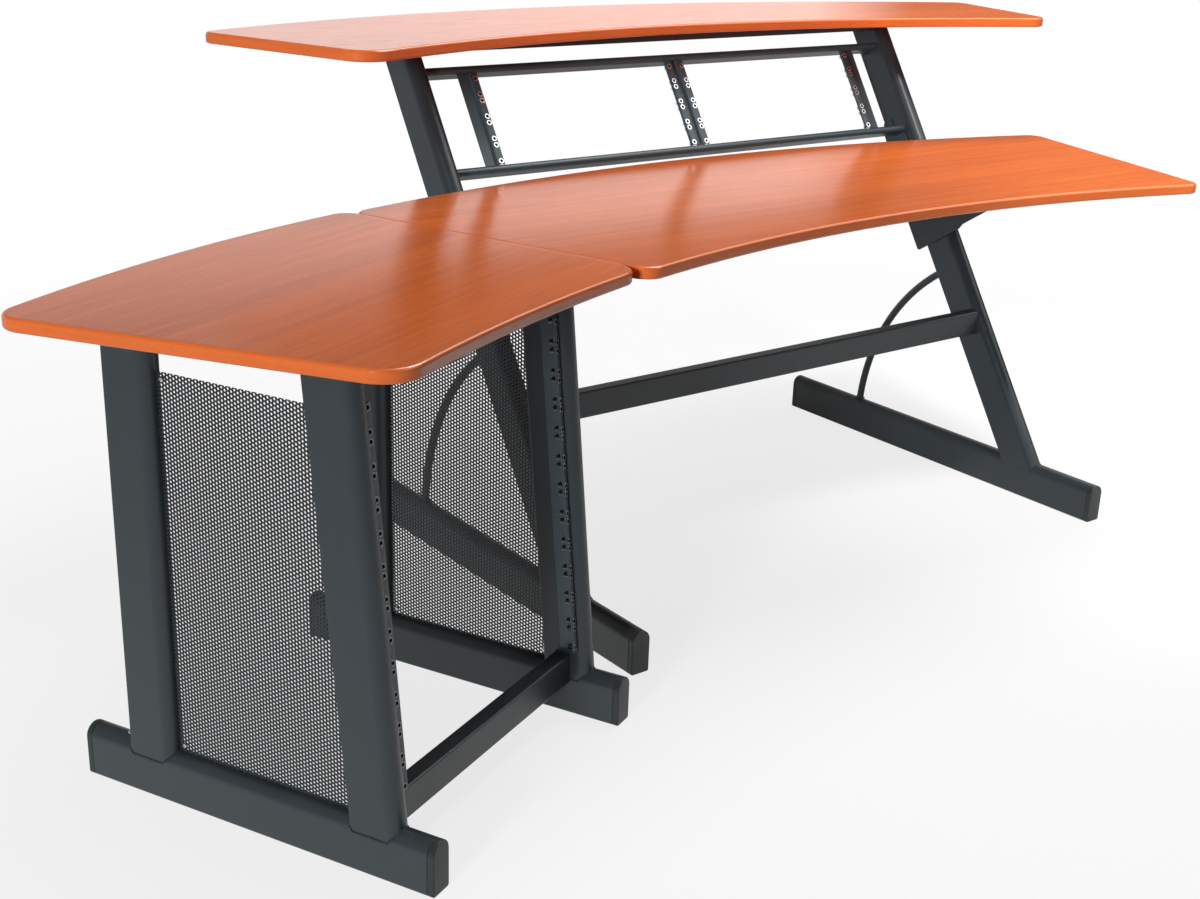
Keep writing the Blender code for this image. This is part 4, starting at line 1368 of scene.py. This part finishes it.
def screw_template():
    """A pan head with a cross recess, its shank's stub behind the surface at y = 0."""
    radius = settings().rack.screw_radius
    height = radius * 0.62
    profile = [(0.0, SEAM * 4), (radius * 0.94, SEAM * 4), (radius, 0.0), (radius, -height * 0.3)]
    for k in range(1, 6):
        angle = math.pi / 2 * k / 6
        low = -height * (0.3 + 0.7 * math.sin(angle))
        profile.append((radius * (0.25 + 0.75 * math.cos(angle)), low))
    head = turned_shape("pan_head", profile + [(0.0, -height)])
    long, short = radius * 0.62, radius * 0.17
    arm = [(long, -short), (long, short), (short, short)]
    cross = []
    for _ in range(4):
        cross += arm
        arm = [(-y, x) for x, y in arm]
    stand = Matrix.Rotation(math.pi / 2, 4, "X")
    tool = shape("recess", prism(cross, height * 0.45, height * 2), stand)
    return cut_away(head, tool, "screw_template")


def points_object(points):
    mesh = bpy.data.meshes.new("spots")
    mesh.from_pydata(points, [], [])
    return link_object("spots", mesh)


class DESK_OT_racks(bpy.types.Operator):
    """Rack strips of the tier and rack rails of the cabinet, with their holes"""

    bl_idname = "desk.racks"
    bl_label = "Rack strips and rails"

    def execute(self, context):
        radius = settings().rack.barrel_radius
        for name, outline, low, high, place, holes in rack_columns():
            sheet = shape(name + "_blank", prism(outline, low, high, SEAM), place)
            drill = bmesh.new()
            for hole in holes:
                stand = Matrix.Translation(hole) @ Matrix.Rotation(math.pi / 2, 4, "X")
                bmesh.ops.create_cone(
                    drill, cap_ends=True, segments=HOLE_SEGMENTS, radius1=radius, radius2=radius,
                    depth=2 * STRIP_RECESS, matrix=stand,
                )
            strip = cut_away(sheet, shape(name + "_drill", drill, place), name + "_sheet")
            finish_piece(strip, rack_coat(), [name])
        return {"FINISHED"}


def fasten(name, template, points, turn, seed, place, finish):
    """One piece of copies of a template at points, each turned by at most an angle."""
    values = {"Shape": template, "Largest turn": turn, "Seed": seed, "Finish": finish}
    piece = run_tree(points_object(points), fastener_tree(), values, name)
    piece.data.transform(place)
    finish_piece(piece, None)


class DESK_OT_inserts(bpy.types.Operator):
    """Bright threaded inserts in the tier's rack holes and dark ones in the cabinet's"""

    bl_idname = "desk.inserts"
    bl_label = "Threaded inserts"

    def execute(self, context):
        template = insert_template()
        for group, place, finish in (
            ("rack_strip", TIER, zinc()), ("rail", CABINET_FRONT, dark_zinc())
        ):
            members = [column for column in rack_columns() if column[0].endswith(group)]
            holes = [hole for column in members for hole in column[5]]
            name = group + "_inserts"
            fasten(name, template, holes, INSERT_TURN, INSERT_SEED, place, finish)
        bpy.data.objects.remove(template, do_unlink=True)
        return {"FINISHED"}


def screw_groups():
    """(name, place, turn, points) of the screws; the turn brings a head's front to its side."""
    downward, upward = (Matrix.Rotation(sign * math.pi / 2, 4, "X") for sign in (1, -1))
    to_left, to_right = (Matrix.Rotation(sign * math.pi / 2, 4, "Z") for sign in (-1, 1))
    bracket, shelf, lugs, corners = [], [], [], []
    leg_side = LEG_CENTRE - TUBE_WIDTH / 2
    for _, sign in DESK_SIDES:
        x = sign * (leg_side - PLATE_THICKNESS - FLANGE_WIDTH * FLANGE_SCREW_SHARE)
        bracket += [(x, y, UNDER_DESK - PLATE_THICKNESS) for y in FLANGE_SCREWS]
        for apart in (-SHELF_SCREW_APART, SHELF_SCREW_APART):
            x = sign * (leg_side - LUG_REACH - apart)
            shelf.append((x, SHELF_SCREW_Y, UNDER_SHELF - LUG_THICKNESS))
    for _, x, inward in CABINET_SIDES:
        reach = x + inward * (TUBE_WIDTH / 2 + LUG_REACH / 2)
        for tip in (FRONT_POST_FOOT + POST_SLOPE * UNDER_DESK, REAR_POST_TIP):
            lugs += [(reach, tip + dy, UNDER_DESK - LUG_THICKNESS) for dy in LUG_SCREWS]
    behind = REAR_POST_TIP + TUBE_DEPTH + BASE_SCREW_BEHIND
    tops = [(x, behind, TUBE_DEPTH) for _, x, _ in CABINET_SIDES]
    for z in (TUBE_DEPTH + PANEL_SCREW_RISE, MESH_TOP - PANEL_SCREW_RISE):
        corners.append((POST_BACK + POST_SLOPE * z + PANEL_SCREW_INSET, z))
        corners.append((REAR_POST_TIP - PANEL_SCREW_INSET, z))
    outer, inner = (
        [(x + face, y, z) for _, x, _ in CABINET_SIDES for y, z in corners]
        for face in (-MESH_THICKNESS / 2, MESH_THICKNESS / 2)
    )
    low = UNDER_DESK - JOINING_PLATE_THICKNESS
    joint = [
        (x, y, low) for x in (-JOINT_SCREW_X, JOINT_SCREW_X)
        for y in (-JOINT_SCREW_Y, 0.0, JOINT_SCREW_Y)
    ]
    return (
        ("bracket_screws", FLOOR, downward, bracket),
        ("shelf_plate_screws", FLOOR, downward, shelf),
        ("post_lug_screws", CABINET, downward, lugs),
        ("base_top_screws", CABINET, upward, tops),
        ("panel_screws_left_heads", CABINET, to_left, outer),
        ("panel_screws_right_heads", CABINET, to_right, inner),
        ("joining_plate_screws", joint_place(), downward, joint),
    )


def joint_place():
    """The middle of the joint between the desktops, turned along it."""
    rear, front = joint_ends()
    middle = (rear + front) / 2
    turn = math.atan2(*(rear - front).yx) - math.pi / 2
    return shifted(FLOOR, middle.x, middle.y) @ Matrix.Rotation(turn, 4, "Z")


class DESK_OT_screws(bpy.types.Operator):
    """Pan-head screws through flanges, plates, lugs and panel corners"""

    bl_idname = "desk.screws"
    bl_label = "Screws"

    def execute(self, context):
        template = screw_template()
        for name, place, turn, points in screw_groups():
            spots = [turn.inverted() @ Vector(point) for point in points]
            fasten(name, template, spots, SCREW_TURN, SCREW_SEED, place @ turn, zinc())
        bpy.data.objects.remove(template, do_unlink=True)
        return {"FINISHED"}


# Perforated panels


def cell_template(panel):
    """One cell of the perforated sheet: a six-sided tile with a six-sided hole, open at the rim."""
    half_step, wide = panel.hole_pitch / 2, panel.column_pitch
    short = wide / 2 - panel.hole_pitch**2 / (8 * wide)
    rim = [((wide**2 + half_step**2) / (2 * wide), 0.0), (short, half_step), (-short, half_step)]
    rim += [(-x, -y) for x, y in rim]
    same_area = panel.hole_radius * math.sqrt(math.pi / (1.5 * math.sqrt(3.0)))
    hole = [tuple(Vector(point).normalized() * same_area) for point in rim]
    half = MESH_THICKNESS / 2
    made = bmesh.new()
    low_rim, low_hole, high_rim, high_hole = (
        [made.verts.new((x, y, z)) for x, y in ring] for z in (-half, half) for ring in (rim, hole)
    )
    for i in range(6):
        made.faces.new((low_rim[i], low_rim[i - 1], low_hole[i - 1], low_hole[i]))
        made.faces.new((high_rim[i - 1], high_rim[i], high_hole[i], high_hole[i - 1]))
        made.faces.new((low_hole[i], low_hole[i - 1], high_hole[i - 1], high_hole[i]))
    return link_object("cell", plain_mesh("cell", made))


def trim(mesh, planes):
    """Cuts a mesh by planes, given as (point, outward direction), and closes the cuts."""
    made = bmesh.new()
    made.from_mesh(mesh)
    for point, outward in planes:
        everything = made.verts[:] + made.edges[:] + made.faces[:]
        result = bmesh.ops.bisect_plane(
            made, geom=everything, plane_co=point, plane_no=outward, clear_outer=True
        )
        edges = [item for item in result["geom_cut"] if isinstance(item, bmesh.types.BMEdge)]
        bmesh.ops.holes_fill(made, edges=edges, sides=0)
    bmesh.ops.delete(made, geom=[v for v in made.verts if not v.link_faces], context="VERTS")
    made.to_mesh(mesh)
    made.free()


class DESK_OT_panels(bpy.types.Operator):
    """The perforated side panels of the cabinet"""

    bl_idname = "desk.panels"
    bl_label = "Perforated panels"

    def execute(self, context):
        panel = settings().panel
        low, front, rear = TUBE_DEPTH + GAP, POST_BACK + GAP, REAR_POST_TIP - GAP
        start = front + POST_SLOPE * low - panel.column_pitch
        cell = cell_template(panel)
        values = {
            "Cell": cell,
            "Columns": math.ceil((rear - start) / panel.column_pitch) + 1,
            "Rows": math.ceil((MESH_TOP - low) / panel.hole_pitch) + 2,
            "Column pitch": panel.column_pitch,
            "Hole pitch": panel.hole_pitch,
            "Finish": panel_coat_with_painted_shade(),
        }
        planes = (
            ((0.0, low, 0.0), (0.0, -1.0, 0.0)),
            ((0.0, MESH_TOP, 0.0), (0.0, 1.0, 0.0)),
            ((rear, 0.0, 0.0), (1.0, 0.0, 0.0)),
            ((front, 0.0, 0.0), Vector((-1.0, POST_SLOPE, 0.0)).normalized()),
        )
        for side, x, _ in CABINET_SIDES:
            seed = link_object("sheet_seed", bpy.data.meshes.new("sheet_seed"))
            sheet = run_tree(seed, lattice_tree(), values, f"cabinet_{side}_perforated_panel")
            sheet.data.transform(Matrix.Translation((start, low - panel.hole_pitch / 4, x)))
            trim(sheet.data, planes)
            sheet.data.transform(across(CABINET))
            finish_piece(sheet, None, [f"cabinet_{side}_mesh"])
        bpy.data.objects.remove(cell, do_unlink=True)
        return {"FINISHED"}


# Welds


def curve_object(paths):
    """Closed polylines as one curve object."""
    data = bpy.data.curves.new("weld_paths", "CURVE")
    data.dimensions = "3D"
    for path in paths:
        spline = data.splines.new("POLY")
        spline.points.add(len(path) - 1)
        for point, place in zip(spline.points, path):
            point.co = (*place, 1.0)
        spline.use_cyclic_u = True
    return link_object("weld_paths", data)


def ripple_template(radius):
    """One ripple of a weld bead: a low-poly flattened ball with its axis along local z."""
    made = bmesh.new()
    bmesh.ops.create_uvsphere(made, u_segments=8, v_segments=5, radius=radius)
    bmesh.ops.scale(made, vec=(1.0, 1.0, 0.75), verts=made.verts)
    return shape("ripple", made)


def end_loops():
    """The lines where bars meet uprights."""
    return [
        [across(place) @ Vector((y, z, end)) for y, z in outline]
        for _, outline, place, left, right in bars() for end in (left, right)
    ]


def brace_loops(radius):
    """The rings where the braces meet the base tubes and the legs."""
    ring = arc_points((0.0, 0.0), radius, 0.0, 2 * math.pi, ROUND_STEPS)[:-1]
    loops = []
    for _, sign in DESK_SIDES:
        for angle, turn in zip(brace_angles(), BRACE_WELD_TURNS):
            angle += turn
            centre = Vector((sign * LEG_CENTRE, *brace_point(angle)))
            outward = Vector((0.0, math.cos(angle), math.sin(angle)))
            loops.append([
                FLOOR @ (centre + out * outward + Vector((aside, 0.0, 0.0))) for out, aside in ring
            ])
    return loops


class DESK_OT_welds(bpy.types.Operator):
    """Weld beads where tubes meet, coated with the frame"""

    bl_idname = "desk.welds"
    bl_label = "Weld beads"

    def execute(self, context):
        steel = settings().steel
        feet = [foot_ring(place, outline) for _, place, outline, _ in standing_tubes()]
        for name, paths, size in (
            ("foot_welds", feet, 1.0),
            ("bar_welds", end_loops(), 0.9),
            ("brace_welds", brace_loops(steel.brace_radius), 1.7),
        ):
            ripple = ripple_template(steel.weld_radius * size)
            values = {"Ripple": ripple, "Pitch": steel.weld_pitch, "Finish": frame_coat()}
            beads = run_tree(curve_object(paths), weld_tree(), values, name)
            bpy.data.objects.remove(ripple, do_unlink=True)
            finish_piece(beads, None)
        return {"FINISHED"}


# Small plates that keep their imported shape


class DESK_OT_plates(bpy.types.Operator):
    """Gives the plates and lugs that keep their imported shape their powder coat"""

    bl_idname = "desk.plates"
    bl_label = "Plates and lugs"

    def execute(self, context):
        names = ["desk_joining_plate"]
        for side, _ in DESK_SIDES:
            names += [side + "_shelf_plate", side + "_rack_lug"]
            names += [f"cabinet_{side}_front_lug", f"cabinet_{side}_rear_lug"]
        for name in names:
            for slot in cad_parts[name].material_slots:
                slot.material = frame_coat()
        return {"FINISHED"}


# Stage


def seen_directly(tree):
    """1 for camera rays, and 1 for those and for mirrored and refracted rays."""
    path = tree.nodes.new("ShaderNodeLightPath").outputs
    seen = maths(tree, "MAXIMUM", path["Is Camera Ray"], path["Is Glossy Ray"])
    return path["Is Camera Ray"], maths(tree, "MAXIMUM", seen, path["Is Transmission Ray"])


def floor_finish(stage):
    """A pale floor that keeps its shadow and looks near white to the camera and in reflections."""
    made, tree, shader = new_material("Pale floor")
    camera, seen = seen_directly(tree)
    low = rgba(stage.floor, stage.floor_bounce)
    feed(shader, {"Base Color": mix_colour(tree, seen, low, rgba(stage.floor)), "Roughness": 0.9})
    glow = add_node(tree, "ShaderNodeEmission", {"Color": (1.0, 1.0, 1.0, 1.0), "Strength": 1.0})
    spot = tree.nodes.new("ShaderNodeTexCoord").outputs["Object"]
    away = vector_maths(tree, "LENGTH", spot)
    glow_here = remap(tree, away, *FLOOR_WHITENS, stage.floor_glow, 1.0)
    gap = vector_maths(tree, "DISTANCE", spot, FLOOR @ Vector(MIRROR_MIDDLE))
    bright = stage.floor_mirrored
    mirrored = remap(tree, gap, *MIRROR_FADES, bright, bright * MIRROR_FAR_SHARE)
    share = mix_value(tree, camera, times(tree, seen, mirrored), glow_here)
    mixed = add_node(tree, "ShaderNodeMixShader", {0: share, 1: shader.outputs[0]})
    feed(mixed, {2: glow.outputs[0]})
    feed(tree.nodes["Material Output"], {"Surface": mixed.outputs[0]})
    return made


def fade(tree, value, function, start, full):
    """A value remapped from 0 to 1 between a function of two angles, given in degrees."""
    return remap(tree, value, *(function(math.radians(angle)) for angle in (start, full)))


def facing(tree, direction, bearing, edge, full):
    """1 where a direction's bearing is near the given one, seen from above, fading to 0."""
    turn = math.radians(bearing)
    flat = vector_maths(tree, "MULTIPLY", direction, (1.0, 1.0, 0.0))
    unit = vector_maths(tree, "NORMALIZE", flat)
    near = vector_maths(tree, "DOT_PRODUCT", unit, (math.sin(turn), -math.cos(turn), 0.0))
    return fade(tree, near, math.cos, edge, full)


def make_world(stage):
    """A room that is white to the camera, and in reflections is a backdrop and some windows.

    What lights the desk is a weak glow from above, strongest from behind.
    """
    world = bpy.data.worlds.new("Room")
    bpy.context.scene.world = world
    world.use_nodes = True
    tree = world.node_tree
    tree.nodes.clear()
    direction = tree.nodes.new("ShaderNodeTexCoord").outputs["Generated"]
    height = add_node(tree, "ShaderNodeSeparateXYZ", {0: direction}).outputs["Z"]
    mirrored = ROOM_DARK
    for bearing, sides, heights, strength in ROOM_PATCHES.values():
        patch = facing(tree, direction, bearing, *sides)
        for start, full in heights:
            patch = times(tree, patch, fade(tree, height, math.sin, start, full))
        mirrored = maths(tree, "MAXIMUM", mirrored, times(tree, patch, strength))
    camera, seen = seen_directly(tree)
    behind = remap(tree, facing(tree, direction, *GLOW_BEARING), 0.0, 1.0, GLOW_LEAST, 1.0)
    above = remap(tree, height, 0.0, 1.0, stage.room * GLOW_LEAST, stage.room)
    lit = mix_value(tree, seen, times(tree, above, behind), mirrored)
    inputs = {"Color": (1.0, 1.0, 1.0, 1.0), "Strength": mix_value(tree, camera, lit, 1.0)}
    room = add_node(tree, "ShaderNodeBackground", inputs)
    add_node(tree, "ShaderNodeOutputWorld", {"Surface": room.outputs[0]})


def lamp(name, kind, ends, power_value, **options):
    """A lamp at a place, aimed at a point."""
    data = bpy.data.lights.new(name, kind)
    data.energy = power_value
    for option, value in options.items():
        setattr(data, option, value)
    made = link_object(name, data)
    place, target = (Vector(end) for end in ends)
    made.location = FLOOR @ place
    made.rotation_euler = (place - target).to_track_quat("Z", "Y").to_euler()
    return made


class DESK_OT_stage(bpy.types.Operator):
    """Floor, room light, softboxes and the camera of the photograph"""

    bl_idname = "desk.stage"
    bl_label = "Stage"

    def execute(self, context):
        stage = settings().stage
        mesh = bpy.data.meshes.new("floor")
        corners = ((-1, -1), (1, -1), (1, 1), (-1, 1))
        corners = [(x * FLOOR_REACH, y * FLOOR_REACH, 0.0) for x, y in corners]
        mesh.from_pydata(corners, [], [(0, 1, 2, 3)])
        floor = link_object("floor", mesh)
        floor.location.z = -SEAM * 2
        mesh.materials.append(floor_finish(stage))
        make_world(stage)
        lamp("key_softbox", "AREA", KEY_LIGHT, stage.key, size=KEY_SIZE)
        side = lamp("side_softbox", "AREA", SIDE_LIGHT, stage.side, size=SIDE_SIZE)
        side.visible_glossy = False
        lamp("front_spot", "SPOT", SPOT_LIGHT, stage.spot, shadow_soft_size=SPOT_RADIUS,
             spot_size=SPOT_ANGLE, spot_blend=SPOT_BLEND)
        data = bpy.data.cameras.new("camera")
        data.lens = CAMERA_LENS
        data.sensor_width = CAMERA_SENSOR
        camera = link_object("camera", data)
        right = CAMERA_RIGHT.normalized()
        backward = right.cross(CAMERA_UP).normalized()
        turn = Matrix((right, backward.cross(right), backward)).transposed()
        camera.matrix_world = FLOOR @ Matrix.Translation(CAMERA_PLACE) @ turn.to_4x4()
        context.scene.camera = camera
        context.scene.view_settings.view_transform = "Standard"
        return {"FINISHED"}


class DESK_PT_sidebar(bpy.types.Panel):
    """Lists the desk's settings and the pieces that can be built"""

    bl_label = "Workstation desk"
    bl_idname = "DESK_PT_sidebar"
    bl_space_type = "VIEW_3D"
    bl_region_type = "UI"
    bl_category = "Desk"

    def draw(self, context):
        for piece in PIECES:
            self.layout.operator(piece.bl_idname)
        for title in DeskSettings.__annotations__:
            group = getattr(context.scene.workstation_desk, title)
            box = self.layout.box()
            box.label(text=DeskSettings.bl_rna.properties[title].name)
            for name in group.__annotations__:
                box.prop(group, name)


PIECES = (
    DESK_OT_stage,
    DESK_OT_boards,
    DESK_OT_uprights,
    DESK_OT_bases,
    DESK_OT_braces,
    DESK_OT_bars,
    DESK_OT_brackets,
    DESK_OT_racks,
    DESK_OT_inserts,
    DESK_OT_screws,
    DESK_OT_panels,
    DESK_OT_welds,
    DESK_OT_plates,
)
CLASSES = (
    DeskBoardSettings,
    DeskFrameSettings,
    DeskRackSettings,
    DeskPanelSettings,
    DeskStageSettings,
    DeskSettings,
    *PIECES,
    DESK_PT_sidebar,
)


def register():
    for item in CLASSES:
        bpy.utils.register_class(item)
    bpy.types.Scene.workstation_desk = settings_group(
        "Workstation desk", "Sizes, finishes and stage of the workstation desk", DeskSettings
    )


def unregister():
    del bpy.types.Scene.workstation_desk
    for item in reversed(CLASSES):
        bpy.utils.unregister_class(item)


def main():
    """Builds the stage and every piece."""
    register()
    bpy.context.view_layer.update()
    for piece in PIECES:
        group, name = piece.bl_idname.split(".")
        getattr(getattr(bpy.ops, group), name)()
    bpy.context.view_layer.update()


if __name__ == "__main__":
    main()
